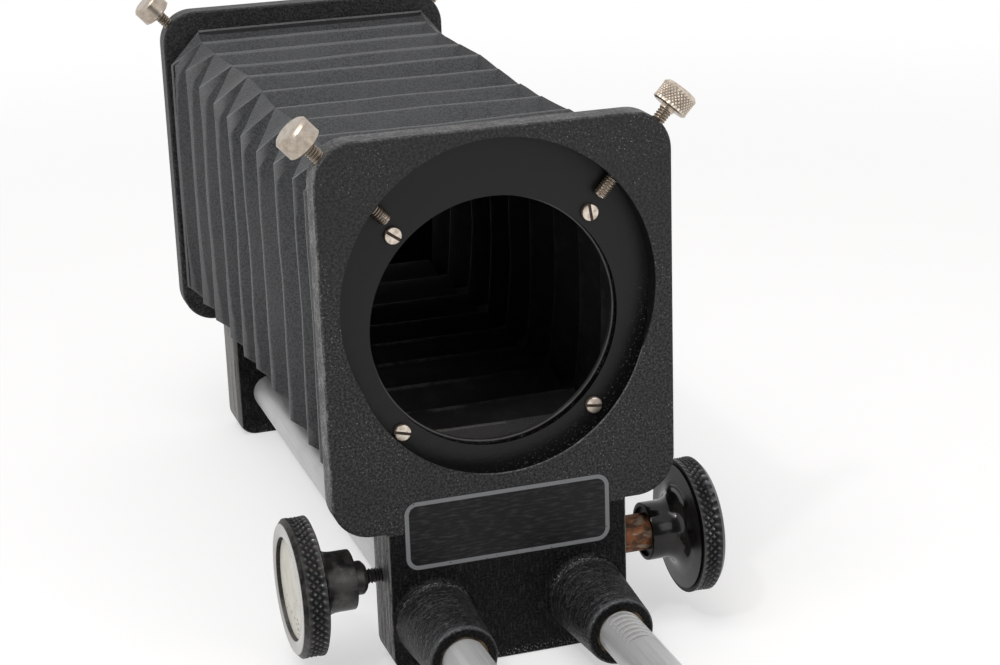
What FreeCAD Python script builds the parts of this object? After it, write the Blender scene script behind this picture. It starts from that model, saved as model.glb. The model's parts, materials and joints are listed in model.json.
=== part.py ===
import FreeCAD, Part
import Sketcher
import math
import os

# Macro bellows unit: two cast standards joined by a pleated bellows. The rear standard holds a pair
# of round rails, and the front standard slides on them, driven by a rack and pinion.
#
# Millimetres. X to the right, Y along the optical axis from the front opening towards the rear,
# Z up. The origin is on the optical axis, in the plane of the front standard's outer face.

DRIVING_SIZES = [
    # ring seat and the opening in its floor
    ("lip_radius", 31.75),
    ("undercut", 2.35),
    ("entry_rise", 6.0),
    ("seat_depth", 4.5),
    ("seat_floor", 1.8),
    ("seat_ledge", 4.75),
    # walls of the plate round the seat
    ("side_wall", 3.9),
    ("top_wall", 2.2),
    ("bottom_wall", 7.8),
    ("plate_corner_radius", 8.5),
    ("edge_round", 0.6),
    ("standards_gap", 156.5),
    # foot block under each plate
    ("foot_half_width", 26.6),
    ("foot_corner_radius", 5.0),
    ("foot_lap", 2.0),
    ("pocket_front_wall", 1.05),
    ("bush_rear_wall", 0.5),
    ("boss_side_margin", 0.8),
    ("boss_under_margin", 3.0),
    ("rail_drop", 20.9),
    # ring clamp screws
    ("clamp_angle", 47.5),
    ("clamp_floor_gap", 0.1),
    ("clamp_thread_radius", 1.5),
    ("clamp_tip_stand", 4.7),
    ("clamp_head_gap", 3.55),
    ("clamp_head_radius", 4.05),
    ("clamp_head_height", 4.8),
    ("clamp_head_chamfer", 0.7),
    ("clamp_foot_chamfer", 0.3),
    ("clamp_tip_chamfer", 0.35),
    ("clamp_shoulder_radius", 1.65),
    ("clamp_shoulder_length", 0.85),
    ("thread_clearance", 0.05),
    # bellows frames and their screws
    ("frame_margin", 4.6),
    ("frame_corner_radius", 4.0),
    ("frame_thickness", 1.2),
    ("frame_window_lip", 0.4),
    ("frame_screw_ledge", 3.0),
    ("frame_screw_radius", 1.2),
    ("frame_screw_head_radius", 1.8),
    ("frame_screw_head_height", 1.0),
    ("frame_screw_head_round", 0.25),
    ("frame_screw_slot_width", 0.65),
    ("frame_screw_slot_depth", 0.6),
    ("frame_screw_clearance", 0.2),
    # bellows
    ("pleats", 10),
    ("ridge_margin_across", 1.4),
    ("ridge_margin_up", 2.6),
    ("ridge_cut_across", 8.6),
    ("ridge_cut_up", 6.9),
    ("fold_depth", 6.2),
    ("cuff_margin_across", 0.4),
    ("cuff_margin_up", 1.0),
    ("valley_cut", 1.0),
    ("cloth_thickness", 0.9),
    # rails and rack
    ("rail_radius", 4.76),
    ("rail_stand_out", 45.0),
    ("rail_end_chamfer", 0.8),
    ("rail_socket_floor", 2.0),
    ("rail_clearance", 0.05),
    ("rack_front_reach", 34.0),
    ("rack_rear_margin", 22.7),
    ("tooth_module", 0.6),
    ("tooth_root_share", 1.25),
    ("pressure_angle", 20.0),
    ("pinion_teeth", 17),
    ("backlash", 0.12),
    # bosses and rail bushes
    ("boss_wall", 1.94),
    ("boss_taper", 1.45),
    ("boss_length", 21.0),
    ("boss_root_fillet", 1.2),
    ("boss_rim_fillet", 0.9),
    ("rail_bush_wall", 0.5),
    ("rail_bush_length", 18.0),
    ("rail_bush_inset", 0.3),
    # pinion shaft, its bush and its pocket
    ("pinion_width", 7.4),
    ("pinion_side_clearance", 0.3),
    ("pinion_tip_clearance", 0.25),
    ("shaft_radius", 4.1),
    ("journal_radius", 2.5),
    ("journal_beyond_rail", 0.9),
    ("shaft_clearance", 0.05),
    ("shaft_bush_wall", 0.75),
    ("shaft_bush_setback", 0.5),
    # knobs
    ("knob_gap", 6.55),
    ("knob_hub_length", 8.35),
    ("knob_rim_width", 5.4),
    ("knob_radius", 14.86),
    ("knob_hub_rim", 0.95),
    ("knob_web_drop", 1.26),
    ("knob_web_setback", 1.0),
    ("knob_flare_radius", 4.6),
    ("knob_face_bevel", 1.0),
    ("knob_back_bevel", 0.5),
    ("knob_face_border", 2.86),
    ("knob_dish_depth", 1.7),
    ("knob_socket_floor", 2.45),
    ("knob_counterbore_depth", 0.8),
    ("knob_counterbore_wall", 1.4),
    ("disc_clearance", 0.2),
    ("disc_thickness", 0.8),
    ("set_screw_radius", 1.5),
    ("set_screw_setback", 3.7),
    ("set_screw_inset", 0.5),
    ("set_screw_hole_rise", 1.2),
    # lock screw and its pad
    ("lock_stud_radius", 1.65),
    ("lock_collar_radius", 3.65),
    ("lock_collar_length", 3.05),
    ("lock_pad_thickness", 1.2),
    ("lock_pad_play", 0.15),
    # plate for a name, left bare
    ("label_margin", 3.7),
    ("label_seat_gap", 1.25),
    ("label_boss_gap", 3.15),
    ("label_corner_radius", 3.0),
    ("label_thickness", 0.4),
    # rail fixing screws and tripod bush in the rear foot
    ("grub_screw_radius", 2.0),
    ("grub_screw_inset", 0.6),
    ("grub_socket_radius", 0.9),
    ("grub_socket_depth", 1.6),
    ("tripod_bush_wall", 2.0),
    ("tripod_bush_depth", 9.5),
    ("tripod_thread_radius", 2.6),
]

doc = FreeCAD.newDocument("MacroBellows")
sheet = doc.addObject("Spreadsheet::Sheet", "Sizes")
for row, (alias, amount) in enumerate(DRIVING_SIZES, start=1):
    sheet.set("A%d" % row, alias)
    sheet.set("B%d" % row, str(amount))
    sheet.setAlias("B%d" % row, alias)
doc.recompute()

X_AXIS = FreeCAD.Vector(1, 0, 0)
Y_AXIS = FreeCAD.Vector(0, 1, 0)
Z_AXIS = FreeCAD.Vector(0, 0, 1)
LEFT, RIGHT = -1, 1
SMALLEST_CUT = 0.01
FLANK_STEPS = 4
parts = []


def size(alias):
    """The number in the sheet under this name."""
    return float(sheet.get(alias))


def derived(alias, formula):
    """A size worked out in the sheet from the driving sizes."""
    row = derived.next_row
    sheet.set("A%d" % row, alias)
    sheet.set("B%d" % row, "=" + formula)
    sheet.setAlias("B%d" % row, alias)
    derived.next_row += 1


derived.next_row = len(DRIVING_SIZES) + 2
derived("undercut_radius", "lip_radius + undercut")
derived("opening_radius", "lip_radius - seat_ledge")
derived("plate_thickness", "seat_depth + seat_floor")
derived("plate_width", "2 * (undercut_radius + side_wall)")
derived("plate_above_axis", "entry_rise + undercut_radius + top_wall")
derived("plate_below_axis", "undercut_radius + bottom_wall")
derived("plate_height", "plate_above_axis + plate_below_axis")
derived("plate_centre_up", "(plate_above_axis - plate_below_axis) / 2")
derived("rear_face", "2 * plate_thickness + standards_gap")
derived("frame_half_width", "plate_width / 2 - frame_margin")
derived("frame_window_radius", "opening_radius - frame_window_lip")
derived("frame_screw_circle", "opening_radius + frame_screw_ledge")
derived("cuff_half_width", "frame_half_width - cuff_margin_across")
derived("cuff_half_height", "frame_half_width - cuff_margin_up")
derived("ridge_half_width", "plate_width / 2 - ridge_margin_across")
derived("ridge_half_height", "plate_width / 2 - ridge_margin_up")
derived("bellows_front", "plate_thickness + frame_thickness")
derived("bellows_rear", "plate_thickness + standards_gap - frame_thickness")
derived("rail_bush_radius", "rail_radius + rail_clearance + rail_bush_wall")
derived("boss_end_radius", "rail_bush_radius + boss_wall")
derived("boss_root_radius", "boss_end_radius + boss_taper")
derived("rail_offset", "foot_half_width - boss_side_margin - boss_root_radius")
derived("rail_below_axis", "plate_below_axis + rail_drop")
derived("rail_front_reach", "boss_length + rail_stand_out")
derived("foot_below_axis", "rail_below_axis + boss_root_radius + boss_under_margin")
derived("pitch_radius", "tooth_module * pinion_teeth / 2")
derived("tip_radius", "pitch_radius + tooth_module")
derived("rack_depth", "(1 + tooth_root_share) * tooth_module")
derived("shaft_below_axis", "rail_below_axis - rail_radius + tooth_module - pitch_radius")
derived("pocket_radius", "tip_radius + pinion_tip_clearance")
derived("pocket_half_width", "pinion_width / 2 + pinion_side_clearance")
derived("pinion_axis_depth", "pocket_radius + pocket_front_wall")
derived("shaft_bush_radius", "shaft_radius + shaft_clearance + shaft_bush_wall")
derived("shaft_bush_length", "foot_half_width - rail_offset - pocket_half_width - shaft_bush_setback")
derived("foot_depth", "pinion_axis_depth + shaft_bush_radius + bush_rear_wall")
derived("rail_socket_depth", "foot_depth - rail_socket_floor")
derived("rack_rear_reach", "rear_face - foot_depth - rack_rear_margin")
derived("journal_reach", "rail_offset + journal_beyond_rail")
derived("lock_tip_reach", "journal_reach + lock_pad_thickness + 2 * lock_pad_play")
derived("knob_hub_reach", "foot_half_width + knob_gap")
derived("knob_rim_reach", "knob_hub_reach + knob_hub_length")
derived("knob_face_reach", "knob_rim_reach + knob_rim_width")
derived("knob_dish_reach", "knob_face_reach - knob_dish_depth")
derived("knob_socket_reach", "knob_dish_reach - knob_socket_floor")
derived("knob_counterbore_radius", "shaft_radius + knob_counterbore_wall")
derived("knob_hub_radius", "knob_counterbore_radius + knob_hub_rim")
derived("knob_dish_radius", "knob_radius - knob_face_border - knob_face_bevel")
derived("lock_collar_reach", "knob_hub_reach - lock_collar_length")
derived("label_half_width", "foot_half_width - label_margin")
derived("label_top", "undercut_radius + label_seat_gap")
derived("label_bottom", "rail_below_axis - boss_root_radius - label_boss_gap")
derived("tripod_bush_radius", "tripod_thread_radius + tripod_bush_wall")
# along a clamp screw, the seat's wall is on the entry circle and the plate's edge on its corner's arc
derived("clamp_axis_depth", "seat_depth - clamp_thread_radius - thread_clearance - clamp_floor_gap")
derived("entry_across", "entry_rise * cos(clamp_angle)")
derived("seat_wall_reach", "entry_rise * sin(clamp_angle) + sqrt(undercut_radius ^ 2 - entry_across ^ 2)")
derived("corner_across", "plate_width / 2 - plate_corner_radius")
derived("corner_up", "plate_above_axis - plate_corner_radius")
derived("corner_along", "corner_across * cos(clamp_angle) + corner_up * sin(clamp_angle)")
derived("corner_aside", "corner_across * sin(clamp_angle) - corner_up * cos(clamp_angle)")
derived("corner_chord", "sqrt(max(plate_corner_radius ^ 2 - corner_aside ^ 2; 0))")
derived("clamp_tip_reach", "seat_wall_reach - clamp_tip_stand")
derived("clamp_head_reach", "corner_along + corner_chord + clamp_head_gap")
doc.recompute()


# ---------------------------------------------------------------- sketch and body helpers

def new_body(name):
    body = doc.addObject("PartDesign::Body", name)
    body.Label = name
    parts.append(body)
    return body


def origin_plane(body, role):
    return next(item for item in body.Origin.OriginFeatures if item.Role == role)


def new_sketch(body, name, role, across="0", up="0", out="0", turn="0"):
    """A sketch on one of the body's planes, moved in that plane, along its normal, and turned."""
    sketch = body.newObject("Sketcher::SketchObject", name)
    sketch.AttachmentSupport = [(origin_plane(body, role), "")]
    sketch.MapMode = "FlatFace"
    sketch.setExpression("AttachmentOffset.Base.x", across)
    sketch.setExpression("AttachmentOffset.Base.y", up)
    sketch.setExpression("AttachmentOffset.Base.z", out)
    sketch.setExpression("AttachmentOffset.Rotation.Yaw", turn)
    return sketch


def draw_circle(sketch, radius):
    """A circle about the sketch's own origin."""
    circle = sketch.addGeometry(Part.Circle(FreeCAD.Vector(), Z_AXIS, 1.0))
    sketch.addConstraint(Sketcher.Constraint("Coincident", circle, 3, -1, 1))
    limit = sketch.addConstraint(Sketcher.Constraint("Radius", circle, 1.0))
    sketch.setExpression("Constraints[%d]" % limit, radius)


def draw_outline(sketch, corners):
    """A closed run of straight edges. Each corner is a pair of sheet formulas, across and up."""
    count = len(corners)
    for index in range(count):
        angles = [2 * math.pi * step / count for step in (index, index + 1)]
        ends = [FreeCAD.Vector(math.cos(angle), math.sin(angle), 0) for angle in angles]
        sketch.addGeometry(Part.LineSegment(ends[0], ends[1]))
    for index, (across, up) in enumerate(corners):
        sketch.addConstraint(Sketcher.Constraint("Coincident", index, 2, (index + 1) % count, 1))
        for kind, formula in (("DistanceX", across), ("DistanceY", up)):
            limit = sketch.addConstraint(Sketcher.Constraint(kind, -1, 1, index, 1, 1.0))
            sketch.setExpression("Constraints[%d]" % limit, formula)


def draw_rectangle(sketch, half_width, half_height):
    """A rectangle about the sketch's own origin."""
    right, left = half_width, "-(%s)" % half_width
    top, bottom = half_height, "-(%s)" % half_height
    draw_outline(sketch, [(left, bottom), (right, bottom), (right, top), (left, top)])


def draw_label_outline(sketch):
    """The outline of the label plate and of the recess that takes it."""
    left, right = "-Sizes.label_half_width", "Sizes.label_half_width"
    top, bottom = "-Sizes.label_top", "-Sizes.label_bottom"
    draw_outline(sketch, [(left, bottom), (right, bottom), (right, top), (left, top)])


def pad(body, sketch, name, length, reverse=False):
    feature = body.newObject("PartDesign::Pad", name)
    feature.Profile = sketch
    feature.setExpression("Length", length)
    feature.Reversed = reverse
    body.Tip = feature
    doc.recompute()
    return feature


def pocket(body, sketch, name, depth, reverse=False):
    """Cuts the sketch into the body, and checks that something was cut."""
    before = body.Shape.Volume
    feature = body.newObject("PartDesign::Pocket", name)
    feature.Profile = sketch
    feature.setExpression("Length", depth)
    feature.Reversed = reverse
    body.Tip = feature
    doc.recompute()
    if body.Shape.Volume > before - SMALLEST_CUT:
        raise RuntimeError("pocket %s cuts nothing" % name)
    return feature


def turned(body, kind, sketch, name, axis):
    """A full turn of the sketch about one of its own axes, added or cut."""
    feature = body.newObject("PartDesign::" + kind, name)
    feature.Profile = sketch
    feature.ReferenceAxis = (sketch, [axis])
    feature.Angle = 360.0
    body.Tip = feature
    doc.recompute()
    return feature


def polar_copies(body, original, name, axis_role, count):
    before = body.Shape.Volume
    pattern = body.newObject("PartDesign::PolarPattern", name)
    pattern.Originals = [original]
    pattern.Axis = (origin_plane(body, axis_role), [""])
    pattern.Angle = 360.0
    pattern.Occurrences = count
    body.Tip = pattern
    doc.recompute()
    if body.Shape.Volume > before - SMALLEST_CUT:
        raise RuntimeError("pattern %s cuts nothing" % name)
    return pattern


def dress(body, kind, name, amount, chosen):
    """A fillet or chamfer on the edges that the test picks."""
    base = body.Tip
    names = ["Edge%d" % (n + 1) for n, edge in enumerate(base.Shape.Edges) if chosen(edge)]
    if not names:
        raise RuntimeError("%s finds no edge" % name)
    feature = body.newObject("PartDesign::" + kind, name)
    feature.Base = (base, names)
    feature.setExpression("Radius" if kind == "Fillet" else "Size", amount)
    body.Tip = feature
    doc.recompute()
    return feature


def close(one, other, slack=1e-4):
    return abs(one - other) < slack


def straight_along(edge, axis):
    """True for a straight edge parallel to the axis."""
    if edge.Degenerated or edge.Curve.TypeId != "Part::GeomLine":
        return False
    return edge.tangentAt(edge.FirstParameter).cross(axis).Length < 1e-6


def round_edge(edge, axis, radius, place):
    """True for a circular edge of this radius whose centre lies at this place along the axis."""
    if edge.Degenerated or edge.Curve.TypeId != "Part::GeomCircle":
        return False
    return close(edge.Curve.Radius, radius, 1e-3) and close(edge.Curve.Center.dot(axis), place, 1e-3)


def face_rear(piece):
    """Turns a piece drawn for the front standard to its place on the rear one."""
    half_turn = FreeCAD.Rotation(Z_AXIS, 180)
    piece.Placement = FreeCAD.Placement(FreeCAD.Vector(0, size("rear_face"), 0), half_turn)


# ---------------------------------------------------------------- the two cast standards

def cast_standard(name):
    """Plate, foot block, opening, ring seat, clamp holes and bellows-frame screw holes."""
    body = new_body(name)
    plate = new_sketch(body, name + "_plate_outline", "XZ_Plane", up="Sizes.plate_centre_up")
    draw_rectangle(plate, "Sizes.plate_width / 2", "Sizes.plate_height / 2")
    pad(body, plate, name + "_plate", "Sizes.plate_thickness", reverse=True)
    dress(body, "Fillet", name + "_plate_corners", "Sizes.plate_corner_radius",
          lambda edge: straight_along(edge, Y_AXIS))

    foot = new_sketch(body, name + "_foot_outline", "XZ_Plane")
    draw_outline(foot, [
        ("-Sizes.foot_half_width", "-Sizes.foot_below_axis"),
        ("Sizes.foot_half_width", "-Sizes.foot_below_axis"),
        ("Sizes.foot_half_width", "Sizes.foot_lap - Sizes.plate_below_axis"),
        ("-Sizes.foot_half_width", "Sizes.foot_lap - Sizes.plate_below_axis"),
    ])
    pad(body, foot, name + "_foot", "Sizes.foot_depth", reverse=True)
    dress(body, "Fillet", name + "_foot_corners", "Sizes.foot_corner_radius",
          lambda edge: straight_along(edge, Y_AXIS)
          and close(edge.CenterOfMass.z, -size("foot_below_axis")))
    rim_depths = (0.0, size("plate_thickness"), size("foot_depth"))
    dress(body, "Fillet", name + "_outer_edges", "Sizes.edge_round",
          lambda edge: any(close(edge.BoundBox.YMin, depth) and close(edge.BoundBox.YMax, depth)
                           for depth in rim_depths)
          and not close(edge.CenterOfMass.z, size("foot_lap") - size("plate_below_axis")))

    opening = new_sketch(body, name + "_opening_circle", "XZ_Plane")
    draw_circle(opening, "Sizes.opening_radius")
    pocket(body, opening, name + "_opening", "Sizes.plate_thickness")
    dovetail = new_sketch(body, name + "_seat_profile", "XY_Plane")
    draw_outline(dovetail, [
        ("0", "0"),
        ("Sizes.lip_radius", "0"),
        ("Sizes.undercut_radius", "Sizes.seat_depth"),
        ("0", "Sizes.seat_depth"),
    ])
    turned(body, "Groove", dovetail, name + "_seat", "V_Axis")
    entry = new_sketch(body, name + "_entry_circle", "XZ_Plane", up="Sizes.entry_rise")
    draw_circle(entry, "Sizes.undercut_radius")
    pocket(body, entry, name + "_entry", "Sizes.seat_depth")

    hole = new_sketch(body, name + "_frame_hole_circle", "XZ_Plane",
                      across="Sizes.frame_screw_circle * cos(45)",
                      up="Sizes.frame_screw_circle * sin(45)")
    draw_circle(hole, "Sizes.frame_screw_radius + Sizes.frame_screw_clearance")
    first = pocket(body, hole, name + "_frame_hole", "Sizes.plate_thickness")
    polar_copies(body, first, name + "_frame_holes", "Y_Axis", 4)

    for side, angle in ((RIGHT, "Sizes.clamp_angle"), (LEFT, "180 - Sizes.clamp_angle")):
        title = "%s_clamp_hole_%s" % (name, "right" if side == RIGHT else "left")
        bore = new_sketch(body, title + "_profile", "XZ_Plane", out="-Sizes.clamp_axis_depth", turn=angle)
        draw_outline(bore, [
            ("Sizes.lip_radius", "0"),
            ("Sizes.clamp_head_reach", "0"),
            ("Sizes.clamp_head_reach", "Sizes.clamp_thread_radius + Sizes.thread_clearance"),
            ("Sizes.lip_radius", "Sizes.clamp_thread_radius + Sizes.thread_clearance"),
        ])
        turned(body, "Groove", bore, title, "H_Axis")
    return body


def front_casting():
    """The sliding standard, with bosses for the rails and the seats of the pinion drive."""
    name = "front_standard"
    body = cast_standard(name)
    for side, word in ((LEFT, "left"), (RIGHT, "right")):
        boss = new_sketch(body, "boss_profile_" + word, "XY_Plane",
                          across="%d * Sizes.rail_offset" % side, out="-Sizes.rail_below_axis")
        draw_outline(boss, [
            ("0", "-Sizes.boss_length"),
            ("Sizes.boss_end_radius", "-Sizes.boss_length"),
            ("Sizes.boss_root_radius", "0"),
            ("Sizes.boss_root_radius", "Sizes.plate_thickness"),
            ("0", "Sizes.plate_thickness"),
        ])
        turned(body, "Revolution", boss, "boss_" + word, "V_Axis")
    dress(body, "Fillet", "boss_rims", "Sizes.boss_rim_fillet",
          lambda edge: round_edge(edge, Y_AXIS, size("boss_end_radius"), -size("boss_length")))
    dress(body, "Fillet", "boss_roots", "Sizes.boss_root_fillet",
          lambda edge: round_edge(edge, Y_AXIS, size("boss_root_radius"), 0.0))
    for side, word in ((LEFT, "left"), (RIGHT, "right")):
        across = "%d * Sizes.rail_offset" % side
        rail_bore = new_sketch(body, "rail_bore_circle_" + word, "XZ_Plane", across=across,
                               up="-Sizes.rail_below_axis", out="Sizes.boss_length")
        draw_circle(rail_bore, "Sizes.rail_radius + Sizes.rail_clearance")
        pocket(body, rail_bore, "rail_bore_" + word, "Sizes.boss_length + Sizes.foot_depth")
        bush_bore = new_sketch(body, "bush_bore_circle_" + word, "XZ_Plane", across=across,
                               up="-Sizes.rail_below_axis", out="Sizes.boss_length")
        draw_circle(bush_bore, "Sizes.rail_bush_radius")
        pocket(body, bush_bore, "bush_bore_" + word, "Sizes.rail_bush_inset + Sizes.rail_bush_length")

    def cross_bore(title, radius, start, length):
        circle = new_sketch(body, title + "_circle", "YZ_Plane", across="Sizes.pinion_axis_depth",
                            up="-Sizes.shaft_below_axis", out=start)
        draw_circle(circle, radius)
        pocket(body, circle, title, length, reverse=True)

    cross_bore("lock_stud_hole", "Sizes.lock_stud_radius + Sizes.thread_clearance",
               "-Sizes.foot_half_width", "Sizes.foot_half_width - Sizes.journal_reach")
    cross_bore("journal_bore", "Sizes.journal_radius + Sizes.shaft_clearance",
               "-Sizes.lock_tip_reach", "Sizes.lock_tip_reach + Sizes.rail_offset")
    cross_bore("pinion_pocket", "Sizes.pocket_radius", "Sizes.rail_offset - Sizes.pocket_half_width",
               "2 * Sizes.pocket_half_width")
    slot = new_sketch(body, "pinion_slot_outline", "YZ_Plane", across="Sizes.pinion_axis_depth",
                      up="-Sizes.shaft_below_axis", out="Sizes.rail_offset - Sizes.pocket_half_width")
    draw_outline(slot, [
        ("0", "-Sizes.pocket_radius"),
        ("Sizes.foot_depth", "-Sizes.pocket_radius"),
        ("Sizes.foot_depth", "Sizes.pocket_radius"),
        ("0", "Sizes.pocket_radius"),
    ])
    pocket(body, slot, "pinion_slot", "2 * Sizes.pocket_half_width", reverse=True)
    cross_bore("shaft_bush_bore", "Sizes.shaft_bush_radius",
               "Sizes.rail_offset", "Sizes.foot_half_width - Sizes.rail_offset")

    label = new_sketch(body, "label_recess_outline", "XZ_Plane")
    draw_label_outline(label)
    pocket(body, label, "label_recess", "Sizes.label_thickness")
    dress(body, "Fillet", "label_recess_corners", "Sizes.label_corner_radius",
          lambda edge: straight_along(edge, Y_AXIS)
          and close(abs(edge.CenterOfMass.x), size("label_half_width"))
          and close(edge.CenterOfMass.y, size("label_thickness") / 2))
    return body


def rear_casting():
    """The fixed standard. It is drawn like the front one and turned to face the other way."""
    name = "rear_standard"
    body = cast_standard(name)
    for side, word in ((LEFT, "left"), (RIGHT, "right")):
        socket = new_sketch(body, "rail_socket_circle_" + word, "XZ_Plane",
                            across="%d * Sizes.rail_offset" % side,
                            up="-Sizes.rail_below_axis", out="-Sizes.foot_depth")
        draw_circle(socket, "Sizes.rail_radius")
        pocket(body, socket, "rail_socket_" + word, "Sizes.rail_socket_depth", reverse=True)
        grub = new_sketch(body, "grub_hole_circle_" + word, "XY_Plane",
                          across="%d * Sizes.rail_offset" % side, up="Sizes.foot_depth / 2",
                          out="-Sizes.foot_below_axis")
        draw_circle(grub, "Sizes.grub_screw_radius")
        pocket(body, grub, "grub_hole_" + word, "Sizes.foot_below_axis - Sizes.rail_below_axis",
               reverse=True)
    bush = new_sketch(body, "tripod_bush_circle", "XY_Plane", up="Sizes.foot_depth / 2",
                      out="-Sizes.foot_below_axis")
    draw_circle(bush, "Sizes.tripod_bush_radius")
    pocket(body, bush, "tripod_bush_bore", "Sizes.tripod_bush_depth", reverse=True)
    face_rear(body)


# ---------------------------------------------------------------- what the castings carry

def bellows_frame(name):
    """A thin square frame behind the plate that clamps the end of the bellows."""
    body = new_body(name)
    outline = new_sketch(body, name + "_outline", "XZ_Plane", out="-Sizes.plate_thickness")
    draw_rectangle(outline, "Sizes.frame_half_width", "Sizes.frame_half_width")
    pad(body, outline, name + "_sheet", "Sizes.frame_thickness", reverse=True)
    dress(body, "Fillet", name + "_corners", "Sizes.frame_corner_radius",
          lambda edge: straight_along(edge, Y_AXIS))
    window = new_sketch(body, name + "_window_circle", "XZ_Plane", out="-Sizes.plate_thickness")
    draw_circle(window, "Sizes.frame_window_radius")
    pocket(body, window, name + "_window", "Sizes.frame_thickness")
    hole = new_sketch(body, name + "_hole_circle", "XZ_Plane",
                      across="Sizes.frame_screw_circle * cos(45)",
                      up="Sizes.frame_screw_circle * sin(45)", out="-Sizes.plate_thickness")
    draw_circle(hole, "Sizes.frame_screw_radius")
    first = pocket(body, hole, name + "_hole", "Sizes.frame_thickness")
    polar_copies(body, first, name + "_holes", "Y_Axis", 4)
    return body


def solid_node(name, shape):
    """A sub-part whose shape is made with Part's own functions."""
    node = doc.addObject("Part::Feature", name)
    node.Label = name
    node.Shape = shape
    parts.append(node)
    return node


def rod(radius, start, length, direction):
    return Part.makeCylinder(radius, length, start, direction)


def frame_screws(name, slot_angles):
    """Four slotted cheese-head screws that hold a bellows frame through the ring seat's floor."""
    floor = size("seat_depth")
    head_height = size("frame_screw_head_height")
    head_radius = size("frame_screw_head_radius")
    slot_width = size("frame_screw_slot_width")
    slot_depth = size("frame_screw_slot_depth")
    shank = size("plate_thickness") + size("frame_thickness") - floor
    screws = []
    for quarter, slot_angle in enumerate(slot_angles):
        head = rod(head_radius, FreeCAD.Vector(0, -head_height, 0), head_height, Y_AXIS)
        rim = [edge for edge in head.Edges if round_edge(edge, Y_AXIS, head_radius, -head_height)]
        head = head.makeFillet(size("frame_screw_head_round"), rim)
        screw = head.fuse(rod(size("frame_screw_radius"), FreeCAD.Vector(), shank, Y_AXIS))
        corner = FreeCAD.Vector(-head_radius, -head_height, -slot_width / 2)
        slot = Part.makeBox(2 * head_radius, slot_depth, slot_width, corner)
        slot.rotate(FreeCAD.Vector(), Y_AXIS, slot_angle)
        screw = screw.cut(slot)
        angle = math.radians(45 + 90 * quarter)
        reach = size("frame_screw_circle")
        screw.translate(FreeCAD.Vector(reach * math.cos(angle), floor, reach * math.sin(angle)))
        screws.append(screw)
    return solid_node(name, Part.makeCompound(screws))


def clamp_screw(name, side):
    """A knurled thumbscrew whose tip presses on the ring. Its head is round, chamfered on top."""
    body = new_body(name)
    angle = "Sizes.clamp_angle" if side == RIGHT else "180 - Sizes.clamp_angle"
    profile = new_sketch(body, name + "_profile", "XZ_Plane", out="-Sizes.clamp_axis_depth", turn=angle)
    tip, head = "Sizes.clamp_tip_reach", "Sizes.clamp_head_reach"
    top = "Sizes.clamp_head_reach + Sizes.clamp_head_height"
    draw_outline(profile, [
        (tip, "0"),
        (tip, "Sizes.clamp_thread_radius - Sizes.clamp_tip_chamfer"),
        (tip + " + Sizes.clamp_tip_chamfer", "Sizes.clamp_thread_radius"),
        (head + " - Sizes.clamp_shoulder_length", "Sizes.clamp_thread_radius"),
        (head + " - Sizes.clamp_shoulder_length", "Sizes.clamp_shoulder_radius"),
        (head, "Sizes.clamp_shoulder_radius"),
        (head, "Sizes.clamp_head_radius - Sizes.clamp_foot_chamfer"),
        (head + " + Sizes.clamp_foot_chamfer", "Sizes.clamp_head_radius"),
        (top + " - Sizes.clamp_head_chamfer", "Sizes.clamp_head_radius"),
        (top, "Sizes.clamp_head_radius - Sizes.clamp_head_chamfer"),
        (top, "0"),
    ])
    turned(body, "Revolution", profile, name + "_turning", "H_Axis")
    return body


def label_plate():
    """A thin plate let into the front of the casting, with nothing on it."""
    body = new_body("label_plate")
    outline = new_sketch(body, "label_outline", "XZ_Plane")
    draw_label_outline(outline)
    pad(body, outline, "label_sheet", "Sizes.label_thickness", reverse=True)
    dress(body, "Fillet", "label_corners", "Sizes.label_corner_radius",
          lambda edge: straight_along(edge, Y_AXIS))
    return body


# ---------------------------------------------------------------- bellows

def pleat_section(y, half_width, half_height, cut_across, cut_up):
    """The eight corners of a rectangle with cut corners, square to the optical axis."""
    inner_x, inner_z = half_width - cut_across, half_height - cut_up
    corners = [(half_width, inner_z), (inner_x, half_height),
               (-inner_x, half_height), (-half_width, inner_z),
               (-half_width, -inner_z), (-inner_x, -half_height),
               (inner_x, -half_height), (half_width, -inner_z)]
    return [FreeCAD.Vector(x, y, z) for x, z in corners]


def flat_face(points):
    return Part.Face(Part.makePolygon(points + points[:1]))


def pleat_sections(shrink):
    """Cuff, ridge and valley sections in turn, drawn in from the outer skin by shrink."""
    front, rear = size("bellows_front"), size("bellows_rear")
    pleats = int(size("pleats"))
    pitch = (rear - front) / pleats
    ridge_w, ridge_h = size("ridge_half_width"), size("ridge_half_height")
    cut_x, cut_z = size("ridge_cut_across"), size("ridge_cut_up")
    valley_cut_x = size("valley_cut")
    valley_cut_z = valley_cut_x * cut_z / cut_x
    fold = size("fold_depth")
    sections = [pleat_section(front, size("cuff_half_width") - shrink, size("cuff_half_height") - shrink,
                              valley_cut_x, valley_cut_z)]
    for pleat in range(pleats):
        middle = front + (pleat + 0.5) * pitch
        sections.append(pleat_section(middle, ridge_w - shrink, ridge_h - shrink, cut_x, cut_z))
        if pleat < pleats - 1:
            end = front + (pleat + 1) * pitch
            sections.append(pleat_section(end, ridge_w - fold - shrink, ridge_h - fold - shrink,
                                          valley_cut_x, valley_cut_z))
    sections.append(pleat_section(rear, size("cuff_half_width") - shrink, size("cuff_half_height") - shrink,
                                  valley_cut_x, valley_cut_z))
    return sections


def skin_faces(sections):
    """Flat panels between each section and the next."""
    faces = []
    for near, far in zip(sections, sections[1:]):
        for corner in range(len(near)):
            following = (corner + 1) % len(near)
            faces.append(flat_face([near[corner], near[following], far[following], far[corner]]))
    return faces


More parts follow.
